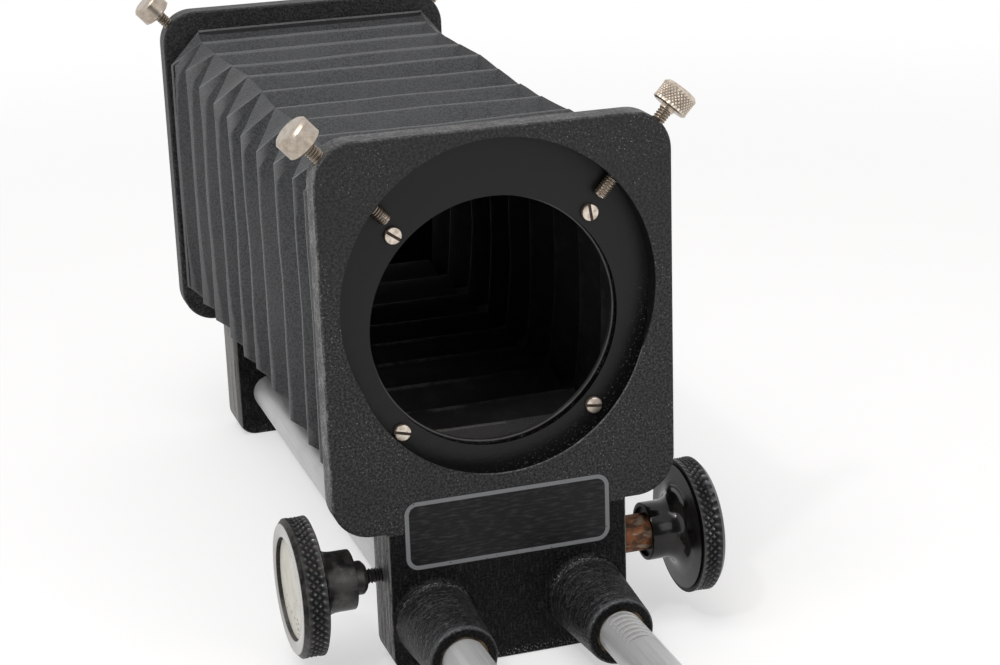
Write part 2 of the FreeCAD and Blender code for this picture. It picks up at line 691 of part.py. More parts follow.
def bellows():
    """A pleated tube of cloth. Ridges have cut corners and valleys are nearly square."""
    outer = pleat_sections(0.0)
    inner = pleat_sections(size("cloth_thickness"))
    faces = skin_faces(outer) + skin_faces(inner)
    for end in (0, -1):
        ring = zip(outer[end], outer[end][1:] + outer[end][:1], inner[end], inner[end][1:] + inner[end][:1])
        for outer_a, outer_b, inner_a, inner_b in ring:
            faces.append(flat_face([outer_a, outer_b, inner_b, inner_a]))
    shell = Part.makeShell(faces)
    shell.sewShape()
    tube = Part.makeSolid(shell)
    if tube.Volume < 0:
        tube.reverse()
    return solid_node("bellows", tube)


# ---------------------------------------------------------------- rails, rack and pinion

def plain_rail(side):
    """A round rail from its socket in the rear foot to its free end in front."""
    end = size("rear_face") - size("foot_depth") + size("rail_socket_depth")
    reach = size("rail_front_reach")
    start = FreeCAD.Vector(side * size("rail_offset"), -reach, -size("rail_below_axis"))
    rail = rod(size("rail_radius"), start, reach + end, Y_AXIS)
    rims = [edge for edge in rail.Edges if round_edge(edge, Y_AXIS, size("rail_radius"), -reach)]
    return rail.makeChamfer(size("rail_end_chamfer"), rims)


def rack_gaps():
    """One trapezoid prism for each gap between the rack's teeth, across the top of the rail."""
    module = size("tooth_module")
    pitch = math.pi * module
    slope = math.tan(math.radians(size("pressure_angle")))
    pitch_line = -size("rail_below_axis") + size("rail_radius") - module
    root = pitch_line + module - size("rack_depth")
    above = pitch_line + 2 * module
    half_gap = pitch / 4
    half_root = half_gap - (pitch_line - root) * slope
    half_top = half_gap + (above - pitch_line) * slope
    # a gap stands straight below the pinion, and the others are counted from it
    first = size("pinion_axis_depth")
    ahead = int((first + size("rack_front_reach")) / pitch)
    behind = int((size("rack_rear_reach") - first) / pitch)
    width = 2 * size("rail_radius")
    gaps = []
    for step in range(-ahead, behind + 1):
        y = first + step * pitch
        x = size("rail_offset") - width / 2
        corners = [FreeCAD.Vector(x, y - half_root, root), FreeCAD.Vector(x, y + half_root, root),
                   FreeCAD.Vector(x, y + half_top, above), FreeCAD.Vector(x, y - half_top, above)]
        gaps.append(flat_face(corners).extrude(FreeCAD.Vector(width, 0, 0)))
    return gaps


def rails():
    solid_node("rail_left", plain_rail(LEFT))
    solid_node("rail_right_rack", plain_rail(RIGHT).cut(rack_gaps()))


def involute_angle(base_radius, radius):
    """The angle through which an involute has turned when it reaches this radius."""
    slant = math.sqrt(max(radius * radius / (base_radius * base_radius) - 1.0, 0.0))
    return slant - math.atan(slant)


def pinion_gear():
    """A spur gear with involute flanks, bored for the shaft. A tooth points straight down."""
    teeth = int(size("pinion_teeth"))
    pitch_radius, tip = size("pitch_radius"), size("tip_radius")
    base_radius = pitch_radius * math.cos(math.radians(size("pressure_angle")))
    root = pitch_radius - size("tooth_root_share") * size("tooth_module")
    half_tooth = (math.pi * size("tooth_module") / 2 - size("backlash")) / 2 / pitch_radius
    lead = half_tooth + involute_angle(base_radius, pitch_radius)
    foot_radius = max(base_radius, root)
    flank = [foot_radius + (tip - foot_radius) * step / FLANK_STEPS for step in range(FLANK_STEPS + 1)]
    points = []
    for tooth in range(teeth):
        middle = -math.pi / 2 + 2 * math.pi * tooth / teeth
        rising = [(root, -lead)] + [(r, involute_angle(base_radius, r) - lead) for r in flank]
        falling = [(r, -turn) for r, turn in reversed(rising)]
        for radius, turn in rising + falling:
            points.append((radius, middle + turn))
    left = size("rail_offset") - size("pinion_width") / 2
    axis_y, axis_z = size("pinion_axis_depth"), -size("shaft_below_axis")
    outline = [FreeCAD.Vector(left, axis_y + r * math.cos(a), axis_z + r * math.sin(a)) for r, a in points]
    gear = flat_face(outline).extrude(FreeCAD.Vector(size("pinion_width"), 0, 0))
    centre = FreeCAD.Vector(left, axis_y, axis_z)
    gear = gear.cut(rod(size("journal_radius"), centre, size("pinion_width"), X_AXIS))
    return solid_node("pinion_gear", gear)


def on_shaft(body, name):
    """A sketch whose across direction is the pinion shaft's axis and whose up direction is radial."""
    return new_sketch(body, name, "XZ_Plane", up="-Sizes.shaft_below_axis", out="-Sizes.pinion_axis_depth")


def pinion_shaft():
    """A shaft with a thick end for the knob and a thin journal that carries the pinion."""
    body = new_body("pinion_shaft")
    profile = on_shaft(body, "shaft_profile")
    shoulder = "Sizes.rail_offset + Sizes.pinion_width / 2"
    outer = "Sizes.knob_socket_reach"
    draw_outline(profile, [
        ("-Sizes.journal_reach", "0"),
        ("-Sizes.journal_reach", "Sizes.journal_radius"),
        (shoulder, "Sizes.journal_radius"),
        (shoulder, "Sizes.shaft_radius"),
        (outer, "Sizes.shaft_radius"),
        (outer, "0"),
    ])
    turned(body, "Revolution", profile, "shaft_turning", "H_Axis")
    return body


def tube_node(name, outer_radius, inner_radius, start, length, direction):
    """A plain bush, cut from two cylinders that follow the sheet."""
    outside = doc.addObject("Part::Cylinder", name + "_outside")
    bore = doc.addObject("Part::Cylinder", name + "_bore")
    for cylinder, radius in ((outside, outer_radius), (bore, inner_radius)):
        cylinder.setExpression("Radius", radius)
        cylinder.setExpression("Height", length)
        cylinder.Placement = FreeCAD.Placement(start, FreeCAD.Rotation(Z_AXIS, direction))
    bush = doc.addObject("Part::Cut", name)
    bush.Label = name
    bush.Base = outside
    bush.Tool = bore
    parts.append(bush)
    return bush


def rail_bushes():
    start_y = size("rail_bush_inset") - size("boss_length")
    for side, word in ((LEFT, "left"), (RIGHT, "right")):
        start = FreeCAD.Vector(side * size("rail_offset"), start_y, -size("rail_below_axis"))
        tube_node("rail_bush_" + word, "Sizes.rail_bush_radius", "Sizes.rail_radius + Sizes.rail_clearance",
                  start, "Sizes.rail_bush_length", Y_AXIS)


def shaft_bush():
    start = FreeCAD.Vector(size("foot_half_width") - size("shaft_bush_length"),
                           size("pinion_axis_depth"), -size("shaft_below_axis"))
    tube_node("pinion_shaft_bush", "Sizes.shaft_bush_radius", "Sizes.shaft_radius + Sizes.shaft_clearance",
              start, "Sizes.shaft_bush_length", X_AXIS)


# ---------------------------------------------------------------- knobs

def knob(name, side, socket_radius):
    """A turned knob: hub, flared web, wide knurled rim and a dished face. Side sets which end."""
    body = new_body(name)
    profile = on_shaft(body, name + "_profile")

    def at(formula):
        return "%d * (%s)" % (side, formula)

    hub, rim, face = "Sizes.knob_hub_reach", "Sizes.knob_rim_reach", "Sizes.knob_face_reach"
    counterbore = hub + " + Sizes.knob_counterbore_depth"
    draw_outline(profile, [
        (at("Sizes.knob_socket_reach"), "0"),
        (at("Sizes.knob_socket_reach"), socket_radius),
        (at(counterbore), socket_radius),
        (at(counterbore), "Sizes.knob_counterbore_radius"),
        (at(hub), "Sizes.knob_counterbore_radius"),
        (at(hub), "Sizes.knob_hub_radius"),
        (at(rim + " - Sizes.knob_web_setback"), "Sizes.knob_hub_radius"),
        (at(rim + " + Sizes.knob_web_setback"), "Sizes.knob_radius - Sizes.knob_web_drop"),
        (at(rim), "Sizes.knob_radius - Sizes.knob_back_bevel"),
        (at(rim + " + Sizes.knob_back_bevel"), "Sizes.knob_radius"),
        (at(face + " - Sizes.knob_face_bevel"), "Sizes.knob_radius"),
        (at(face), "Sizes.knob_radius - Sizes.knob_face_bevel"),
        (at(face), "Sizes.knob_dish_radius"),
        (at("Sizes.knob_dish_reach"), "Sizes.knob_dish_radius"),
        (at("Sizes.knob_dish_reach"), "0"),
    ])
    turned(body, "Revolution", profile, name + "_turning", "H_Axis")
    web_start = side * (size("knob_rim_reach") - size("knob_web_setback"))
    dress(body, "Fillet", name + "_flare", "Sizes.knob_flare_radius",
          lambda edge: round_edge(edge, X_AXIS, size("knob_hub_radius"), web_start))
    return body


def face_disc(name, side):
    """A plain disc let into the dish of a knob's face."""
    start_x = side * size("knob_dish_reach")
    start = FreeCAD.Vector(start_x, size("pinion_axis_depth"), -size("shaft_below_axis"))
    radius = size("knob_dish_radius") - size("disc_clearance")
    return solid_node(name, rod(radius, start, size("disc_thickness"), X_AXIS * side))


def lock_screw():
    """The threaded stud of the lock knob, with its collar. Its tip pushes a pad on the shaft's end."""
    body = new_body("lock_screw")
    profile = on_shaft(body, "lock_screw_profile")
    tip = "-Sizes.lock_tip_reach"
    collar = "-Sizes.lock_collar_reach"
    hub = "-Sizes.knob_hub_reach - Sizes.knob_counterbore_depth"
    end = "-Sizes.knob_socket_reach"
    draw_outline(profile, [
        (tip, "0"),
        (tip, "Sizes.lock_stud_radius"),
        (collar, "Sizes.lock_stud_radius"),
        (collar, "Sizes.lock_collar_radius"),
        (hub, "Sizes.lock_collar_radius"),
        (hub, "Sizes.lock_stud_radius"),
        (end, "Sizes.lock_stud_radius"),
        (end, "0"),
    ])
    turned(body, "Revolution", profile, "lock_screw_turning", "H_Axis")
    return body


def lock_pad():
    """A disc between the lock screw's tip and the end of the pinion shaft."""
    start_x = -size("journal_reach") - size("lock_pad_play") - size("lock_pad_thickness")
    start = FreeCAD.Vector(start_x, size("pinion_axis_depth"), -size("shaft_below_axis"))
    radius = size("journal_radius")
    return solid_node("lock_pad", rod(radius, start, size("lock_pad_thickness"), X_AXIS))


def drive_knob():
    """The knob on the pinion shaft, with a grub screw across its hub."""
    body = knob("focus_knob", RIGHT, "Sizes.shaft_radius")
    hole = new_sketch(body, "set_screw_hole_circle", "XY_Plane",
                      across="Sizes.knob_hub_reach + Sizes.set_screw_setback",
                      up="Sizes.pinion_axis_depth", out="-Sizes.shaft_below_axis")
    draw_circle(hole, "Sizes.set_screw_radius")
    pocket(body, hole, "set_screw_hole", "Sizes.knob_hub_radius + Sizes.set_screw_hole_rise", reverse=True)
    start = FreeCAD.Vector(size("knob_hub_reach") + size("set_screw_setback"),
                           size("pinion_axis_depth"), size("shaft_radius") - size("shaft_below_axis"))
    length = size("knob_hub_radius") - size("shaft_radius") - size("set_screw_inset")
    solid_node("focus_knob_set_screw", rod(size("set_screw_radius"), start, length, Z_AXIS))


# ---------------------------------------------------------------- screws and bush of the rear foot

def rail_grub_screws():
    """Two grub screws, one under each rail, each with a six-sided key socket."""
    middle_y = size("rear_face") - size("foot_depth") / 2
    bottom = -size("foot_below_axis") + size("grub_screw_inset")
    top = -size("rail_below_axis") - size("rail_radius")
    screws = []
    for side in (LEFT, RIGHT):
        start = FreeCAD.Vector(side * size("rail_offset"), middle_y, bottom)
        screw = rod(size("grub_screw_radius"), start, top - bottom, Z_AXIS)
        socket_points = []
        for corner in range(6):
            angle = math.radians(60 * corner)
            arm = FreeCAD.Vector(math.cos(angle), math.sin(angle), 0) * size("grub_socket_radius")
            socket_points.append(start + arm)
        socket = flat_face(socket_points).extrude(FreeCAD.Vector(0, 0, size("grub_socket_depth")))
        screws.append(screw.cut(socket))
    return solid_node("rail_grub_screws", Part.makeCompound(screws))


def tripod_bush():
    start = FreeCAD.Vector(0, size("rear_face") - size("foot_depth") / 2, -size("foot_below_axis"))
    tube_node("tripod_bush", "Sizes.tripod_bush_radius", "Sizes.tripod_thread_radius",
              start, "Sizes.tripod_bush_depth", Z_AXIS)


# ---------------------------------------------------------------- the whole unit

front_casting()
rear_casting()
bellows_frame("front_bellows_frame")
face_rear(bellows_frame("rear_bellows_frame"))
frame_screws("front_frame_screws", (81, 36, 14, 8))
face_rear(frame_screws("rear_frame_screws", (20, 85, 35, 50)))
clamp_screw("front_clamp_screw_left", LEFT)
clamp_screw("front_clamp_screw_right", RIGHT)
face_rear(clamp_screw("rear_clamp_screw_left", RIGHT))
face_rear(clamp_screw("rear_clamp_screw_right", LEFT))
label_plate()
bellows()
rails()
rail_bushes()
rail_grub_screws()
tripod_bush()
pinion_shaft()
shaft_bush()
pinion_gear()
drive_knob()
face_disc("focus_knob_disc", RIGHT)
knob("lock_knob", LEFT, "Sizes.lock_stud_radius")
face_disc("lock_knob_disc", LEFT)
lock_screw()
lock_pad()
doc.recompute()

for item in doc.Objects:
    if "Invalid" in item.State or "Error" in item.State:
        raise RuntimeError("%s is in state %s" % (item.Label, item.State))
for part in parts:
    if part.Shape.isNull() or not part.Shape.isValid():
        raise RuntimeError("%s has no valid shape" % part.Label)

os.makedirs("parts", exist_ok=True)
for part in parts:
    part.Shape.exportStep("parts/%s.step" % part.Label)
print("%d sub-parts written" % len(parts))
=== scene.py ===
import json
import math

import bmesh
import bpy
from mathutils import Matrix, Vector, noise


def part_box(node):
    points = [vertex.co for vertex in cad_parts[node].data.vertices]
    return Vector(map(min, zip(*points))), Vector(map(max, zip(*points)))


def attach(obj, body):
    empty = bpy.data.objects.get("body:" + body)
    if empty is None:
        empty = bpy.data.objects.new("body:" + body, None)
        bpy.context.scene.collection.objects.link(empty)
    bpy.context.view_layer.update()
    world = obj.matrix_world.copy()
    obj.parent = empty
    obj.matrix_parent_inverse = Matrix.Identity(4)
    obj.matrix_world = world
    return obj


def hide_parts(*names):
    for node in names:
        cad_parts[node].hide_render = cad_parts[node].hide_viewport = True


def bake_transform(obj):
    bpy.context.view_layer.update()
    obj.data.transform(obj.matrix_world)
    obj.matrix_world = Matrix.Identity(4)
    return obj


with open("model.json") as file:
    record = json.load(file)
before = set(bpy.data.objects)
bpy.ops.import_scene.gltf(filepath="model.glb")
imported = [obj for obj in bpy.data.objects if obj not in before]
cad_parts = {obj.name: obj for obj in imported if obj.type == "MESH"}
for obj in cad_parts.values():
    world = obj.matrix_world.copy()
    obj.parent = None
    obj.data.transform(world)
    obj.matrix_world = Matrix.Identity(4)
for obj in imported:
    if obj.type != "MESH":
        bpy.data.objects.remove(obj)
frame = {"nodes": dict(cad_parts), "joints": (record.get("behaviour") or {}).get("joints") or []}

# Macro bellows unit: finishes for the cast standards, rails and fittings, and the pleated cloth, the
# knurled knobs and the threaded screws that stand for the plain solids. Metres, in the frame's axes.

MM = 0.001
FULL_TURN = 2 * math.pi
X_AXIS = Vector((1, 0, 0))
Y_AXIS = Vector((0, 1, 0))
LEFT, RIGHT = -1, 1

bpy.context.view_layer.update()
joints = {joint["name"]: joint for joint in frame["joints"]}

# ---------------- sizes

FLOOR_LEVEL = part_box("front_standard")[0].z
FOCUS_AXLE = Vector(joints["focus_turn"]["pos_m"])
AXLE_CENTRE = Vector((0, FOCUS_AXLE.y, FOCUS_AXLE.z))

# cast plates, in millimetres, as the paint's masks use them
PLATE_HALF_WIDTH = 38.0
PLATE_TOP = 42.3
PLATE_BOTTOM = -41.9
PLATE_CORNER = 8.5
SEAT_RADIUS = 34.1
SEAT_LIP_RADIUS = 31.75
SEAT_RISE = 6.0
FOOT_HALF_WIDTH = 26.6
FOOT_BOTTOM = -74.5
RAIL_OFFSET = 17.1
RAIL_LEVEL = -62.8
RAIL_RADIUS = 4.76
OPENING_RADIUS = 27.0
FRAME_RADIUS = 26.6
SEAT_DEPTH = 4.5
SCREW_FACE = 3.5
BOSS_END = -21.0
BOSS_ROOT = -1.3
LABEL_CORNER = 3.0
LABEL_BORDER_INSET = 0.62

# strip of grained cloth glued in behind the bellows' front edge, in millimetres
STRIP_END = 21.0
STRIP_NOTCH = 2.0
STRIP_NOTCH_SIDE = 7.0
STRIP_TOP = -18.0

# pleated cloth
CLOTH_THICKNESS = 0.7 * MM
RIDGE_HALF_WIDTH = 36.5 * MM
RIDGE_LEAN = 1.4 * MM
FOLD_DEPTH = 6.2 * MM
VALLEY_HALF_WIDTH = RIDGE_HALF_WIDTH - FOLD_DEPTH
VALLEY_HALF_HEIGHT = 29.1 * MM
VALLEY_CUT = 2.8 * MM
GUSSET_HEIGHT = 35.0 * MM
CUFF_HALF_WIDTH = 33.0 * MM
CUFF_HALF_HEIGHT = 32.4 * MM
CUFF_CUT = 1.0 * MM
TUCK_START = 12 * MM
TUCK_SHARE = 0.85
# each ridge, in millimetres: place, half width, half height, and how far its corner is cut across and up
RIDGES = (
    (15.5, 36.5, 34.8, 7.4, 5.4),
    (27.0, 36.3, 34.6, 7.4, 5.0),
    (42.5, 36.5, 34.5, 7.4, 5.3),
    (60.7, 36.5, 34.2, 7.4, 6.3),
    (76.6, 36.6, 33.9, 7.3, 5.8),
    (91.2, 36.5, 35.0, 7.6, 5.4),
    (106.5, 36.7, 35.6, 7.5, 6.1),
    (124.0, 36.7, 35.2, 7.3, 5.0),
    (143.0, 36.3, 35.0, 6.6, 3.8),
    (157.0, 37.8, 35.6, 7.2, 5.4),
    (160.2, 34.0, 38.1, 3.6, 7.4),
)
RIDGE_ROUNDING = 0.3 * MM
VALLEY_ROUNDING = 0.15 * MM
CLOTH_WAVE = 0.35 * MM
CLOTH_WAVE_LENGTH = 22 * MM
CLOTH_WAVE_SEED = 5
CLOTH_STILL_END = 8 * MM
# an edge longer than this runs along a fold, not round its corner
CORNER_REACH = 20 * MM
# cuts that let the cloth bend: along each fold, and across each slope from ridge to valley
FOLD_CUTS = 13
SLOPE_CUTS = 3
SLOPE_REACH = 2 * MM

# knobs: distances run outwards from the middle of the unit, radii from the axle
KNOB_RIM_WIDTH = 6.0 * MM
KNOB_HUB_RADIUS = 6.45 * MM
KNOB_HUB_ROUND = 0.25 * MM
KNOB_HUB_END_MIDDLE = 5.1 * MM
KNOB_WEB_RADIUS = 13.9 * MM
KNOB_WEB_DISH = 0.3 * MM
KNOB_FLARE = 3.8 * MM
KNOB_FLARE_STEPS = 8
KNOB_GROOVE_RADIUS = 13.2 * MM
KNOB_GROOVE_WIDTH = 0.35 * MM
KNOB_FACE_BEVEL = 1.0 * MM
KNOB_DISH_RADIUS = 11.0 * MM
KNOB_DISH_DEPTH = 1.7 * MM
KNOB_SOCKET_FLOOR = 2.45 * MM
KNOB_BORE_RADIUS = 5.5 * MM
KNOB_BORE_DEPTH = 0.8 * MM
KNOB_DIAMONDS = 54
KNOB_KNURL_ROWS = 5
KNOB_KNURL_DEPTH = 0.5 * MM
SHAFT_RADIUS = 4.1 * MM
STUD_RADIUS = 1.65 * MM
STUD_PITCH = 0.7 * MM
STUD_TIP = 19.5 * MM
STUD_STEPS = 48
COLLAR_RADIUS = 3.65 * MM
COLLAR_START = 30.1 * MM

# thumbscrews: distances run outwards from the optical axis
CLAMP_TIP = 33.58 * MM
CLAMP_HEAD = 56.85 * MM
CLAMP_HEAD_HEIGHT = 4.75 * MM
CLAMP_HEAD_RADIUS = 4.0 * MM
CLAMP_FOOT_CHAMFER = 0.3 * MM
CLAMP_TOP_CHAMFER = 0.7 * MM
CLAMP_POINT = 0.35 * MM
CLAMP_SHOULDER_RADIUS = 1.6 * MM
CLAMP_SHOULDER_LENGTH = 0.85 * MM
CLAMP_THREAD_RADIUS = 1.5 * MM
CLAMP_THREAD_PITCH = 0.6 * MM
CLAMP_DIAMONDS = 28
CLAMP_KNURL_ROWS = 8
CLAMP_KNURL_DEPTH = 0.24 * MM
CLAMP_WORN_KNURL_DEPTH = 0.03 * MM

# knurling this deep gets its full marks: dirt in the nickel's hollows, painted shade in the black knobs'
# hollows and painted glints on its peaks; shallower knurling less
KNURL_FULL_MARK_DEPTH = 0.2 * MM

THREAD_DEPTH_SHARE = 0.5
THREAD_CORE_SHARE = 0.9
THREAD_STEPS = 24

# points nearer than this are one
WELD = 0.001 * MM
# neighbouring faces that turn by less than this are shaded as one
SMOOTH_BELOW = math.radians(32)
CLOTH_SMOOTH_BELOW = math.radians(50)

# studio: the paper's size, and how far from the unit's middle, in millimetres, it goes over into white
PAPER_WIDTH = 4.0
PAPER_MIDDLE = 80.0
PAPER_FADE_START = 260.0
PAPER_FADE_END = 700.0
# the room behind the viewer is dark, and polished surfaces show it: its direction and how wide it is
DARK_SIDE = (-0.2895, -0.9055, 0.3105)
DARK_SIDE_EDGE = 0.72
DARK_SIDE_CORE = 0.93
# soft lamps: name, place, width and power
LAMPS = (
    ("top_softbox", (-0.25, -0.15, 0.85), 0.6, 3.9),
    ("front_softbox", (0.35, -0.9, 0.45), 0.5, 1.2),
    ("window", (-0.5, -0.47, 0.88), 0.06, 1.4),
)
LAMP_AIM = Vector((0, 60 * MM, 0))
CAMERA_PLACE = (-0.135114, -0.420927, 0.143453)
CAMERA_TURN = math.radians(-17.733)
CAMERA_HEIGHT = math.radians(18.089)
CAMERA_ROLL = math.radians(-1.946)
CAMERA_LENS = 81.33
CAMERA_SENSOR = 36.0


# ---------------- shader maths

class Signal:
    """A number, place or colour that varies. Sums written with numbers become Math nodes."""

    def __init__(self, nodes, socket):
        self.nodes = nodes
        self.socket = socket

    def maths(self, operation, *numbers):
        return self.nodes.node("Math", {"operation": operation}, dict(enumerate(numbers)))

    def __add__(self, other):
        return self.maths("ADD", self, other)

    def __sub__(self, other):
        return self.maths("SUBTRACT", self, other)

    def __rsub__(self, other):
        return self.maths("SUBTRACT", other, self)

    def __mul__(self, other):
        return self.maths("MULTIPLY", self, other)

    def __pow__(self, other):
        return self.maths("POWER", self, other)

    def __abs__(self):
        return self.maths("ABSOLUTE", self)

    def at_least(self, other):
        return self.maths("MAXIMUM", self, other)

    def at_most(self, other):
        return self.maths("MINIMUM", self, other)

    def step(self, start, end):
        """Goes smoothly from 0 at start to 1 at end, whichever is the larger."""
        return self.nodes.node("MapRange", {"interpolation_type": "SMOOTHSTEP"},
                               {"Value": self, "From Min": start, "From Max": end})

    __radd__ = __add__
    __rmul__ = __mul__


class Nodes:
    """The nodes of a material or of the world, and the shader that they feed."""

    def __init__(self, tree, shader):
        self.tree = tree
        self.shader = tree.nodes[shader]

    def feed(self, node, sockets):
        """Gives each socket a fixed value, or links it to a signal."""
        for name, value in sockets.items():
            if isinstance(value, Signal):
                self.tree.links.new(value.socket, node.inputs[name])
            else:
                node.inputs[name].default_value = value

    def node(self, kind, settings, sockets, out=0):
        made = self.tree.nodes.new("ShaderNode" + kind)
        for name, setting in settings.items():
            setattr(made, name, setting)
        self.feed(made, sockets)
        return Signal(self, made.outputs[out])

    def vary(self, sockets):
        self.feed(self.shader, sockets)
        return self

    def beside(self, signal, names):
        """Other outputs of the node that a signal comes from."""
        outputs = signal.socket.node.outputs
        return [Signal(self, outputs[name]) for name in names]

    def rays(self, *names):
        """For each of the named kinds of ray, 1 where such a ray meets the surface and 0 elsewhere."""
        return self.beside(self.node("LightPath", {}, {}), names)

    def mixed(self, share, one, other):
        """A colour that goes from one to the other as share goes from 0 to 1."""
        return self.node("Mix", {"data_type": "RGBA"}, {0: share, 6: one, 7: other}, 2)

    def coated(self, colour, *coats):
        """Lays coats over a colour, one after the other. Each is a share and a colour."""
        for share, coat in coats:
            colour = self.mixed(share, colour, coat)
        return colour


class Finish(Nodes):
    """One material. Places on it are in millimetres, in the object's own axes."""

    def __init__(self, name, constants):
        self.material = bpy.data.materials.new(name)
        self.material.use_nodes = True
        super().__init__(self.material.node_tree, "Principled BSDF")
        self.feed(self.shader, constants)
        self.place = self.in_millimetres(self.node("TexCoord", {}, {}, "Object"))

    def in_millimetres(self, place):
        return self.node("VectorMath", {"operation": "SCALE"}, {"Vector": place, "Scale": 1 / MM})

    def carried(self, attribute, out="Fac"):
        """What the mesh carries at its points under this name."""
        return self.node("Attribute", {"attribute_name": attribute}, {}, out)

    def parts(self, place=None):
        return self.beside(self.node("SeparateXYZ", {}, {"Vector": place or self.place}), "XYZ")

    def joined(self, x, y, z):
        return self.node("CombineXYZ", {}, {"X": x, "Y": y, "Z": z})

    def stretched(self, factors):
        return self.node("Mapping", {}, {"Vector": self.place, "Scale": factors})

    def clouds(self, scale, detail=2.0, place=None):
        return self.node("TexNoise", {}, {"Vector": place or self.place, "Scale": scale, "Detail": detail})

    def cells(self, scale, feature="F1", place=None):
        return self.node("TexVoronoi", {"feature": feature},
                         {"Vector": place or self.place, "Scale": scale})

    def relief(self, height, depth, strength):
        return self.node("Bump", {}, {"Height": height, "Distance": depth * MM, "Strength": strength})


def grey(level, warmth=0.0):
    return (level * (1 + warmth), level, level * (1 - warmth), 1.0)


def distance(across, up):
    """How far a point is from where both signals are 0."""
    square = across ** 2.0 + up ** 2.0
    return square.maths("SQRT", square)


def from_rail(x, z):
    """Distance from the axis of the nearer rail."""
    return distance(abs(x) - RAIL_OFFSET, z - RAIL_LEVEL)


def from_outline(across, up, half_width, half_height, corner):
    """Distance outside a rectangle with round corners, negative inside it."""
    beyond_across = abs(across) - (half_width - corner)
    beyond_up = abs(up) - (half_height - corner)
    outside = distance(beyond_across.at_least(0.0), beyond_up.at_least(0.0))
    return outside + beyond_across.at_least(beyond_up).at_most(0.0) - corner


# ---------------- finishes

class CastPaint(Finish):
    """Paint on a cast standard. Its marks keep to places, most of them signals from 0 to 1."""

    def __init__(self, name, outer_face, inwards):
        super().__init__(name, {"Specular IOR Level": 0.28})
        self.x, self.y, self.z = self.parts()
        self.depth = (self.y - outer_face) * inwards
        self.grain = self.clouds(1.9, 3.0)
        self.lumps = self.clouds(0.35)

        plate_centre = (PLATE_TOP + PLATE_BOTTOM) / 2
        self.outline = from_outline(self.x, self.z - plate_centre, PLATE_HALF_WIDTH,
                                    (PLATE_TOP - PLATE_BOTTOM) / 2, PLATE_CORNER)
        self.on_foot = self.outline.step(0.15, 0.5)
        self.on_boss = self.depth.step(-0.2, -0.8)
        self.seat_radius = distance(self.x, self.z - self.z.at_least(0.0).at_most(SEAT_RISE))
        self.in_seat = (self.seat_radius.step(SEAT_RADIUS + 0.1, SEAT_RADIUS) * self.depth.step(0.3, 0.7)
                        * self.depth.step(SEAT_DEPTH + 0.6, SEAT_DEPTH + 0.3))
        from_axis = distance(self.x, self.z)
        # the opening's wall is painted near black, with metallic to cut its reflection: painted shade
        self.in_opening = (from_axis.step(OPENING_RADIUS + 0.3, OPENING_RADIUS + 0.1)
                           * self.depth.step(SEAT_DEPTH, SEAT_DEPTH + 0.15))

    def bare_metal_and_edge_glint(self):
        """Where hands and other gear have rubbed the plate's rim and the right of the seat's lip, with
        painted highlights along the same edges.
        """
        wear_and_glint_amount = (self.lumps * 0.6 + self.grain * 0.6).step(0.5, 0.8)
        plate_edge = self.outline.step(-0.5, -0.1) * (1.0 - self.on_foot)
        wear_and_glint_spread = (self.z.step(PLATE_BOTTOM + 3.0, PLATE_BOTTOM + 9.0)
                   * (1.0 - self.x.step(30.0, 37.0) * 0.7) * (1.0 - self.z.step(38.0, 41.0) * 0.5))
        lip_edge = (abs(self.seat_radius - SEAT_LIP_RADIUS).step(0.5, 0.1)
                    * self.depth.step(0.5, 0.1) * (self.x - self.z).step(20.0, 34.0))
        return (plate_edge * wear_and_glint_spread * (wear_and_glint_amount * 0.45 + 0.05)).at_least(lip_edge * (wear_and_glint_amount * 0.4 + 0.15))

    def pale_flecks(self):
        """Dust and painted glints: thick on the plate's lower right, along the foot's lower edge and right
        in the seat.
        """
        low_down = self.z.step(10.0, -45.0)
        to_right = self.x.step(20.0, 36.0)
        crowd = (self.clouds(0.07) + low_down * 0.1 + to_right * 0.06).step(0.42, 0.64)
        root_ring = (abs(self.depth - BOSS_ROOT).step(1.2, 0.5) * self.on_foot
                     * self.z.step(RAIL_LEVEL, RAIL_LEVEL + 6.0))
        lower_edge = self.z.step(FOOT_BOTTOM + 3.2, FOOT_BOTTOM + 1.4) * self.on_foot
        edge_dust_and_glints = lower_edge.at_least(root_ring)
        dusty = self.seat_radius.step(29.0, 33.0) * (self.x - self.z).step(20.0, 45.0) * self.in_seat
        crowd = crowd * (1.0 - self.in_seat) * (1.0 - self.on_foot * 0.9)
        crowd = crowd.at_least(edge_dust_and_glints).at_least(dusty * 0.8)
        fleck = (self.clouds(2.6, 1.5) + edge_dust_and_glints * 0.05).step(0.63, 0.73) * crowd
        return fleck * self.depth.step(BOSS_END + 0.1, BOSS_END + 0.5)


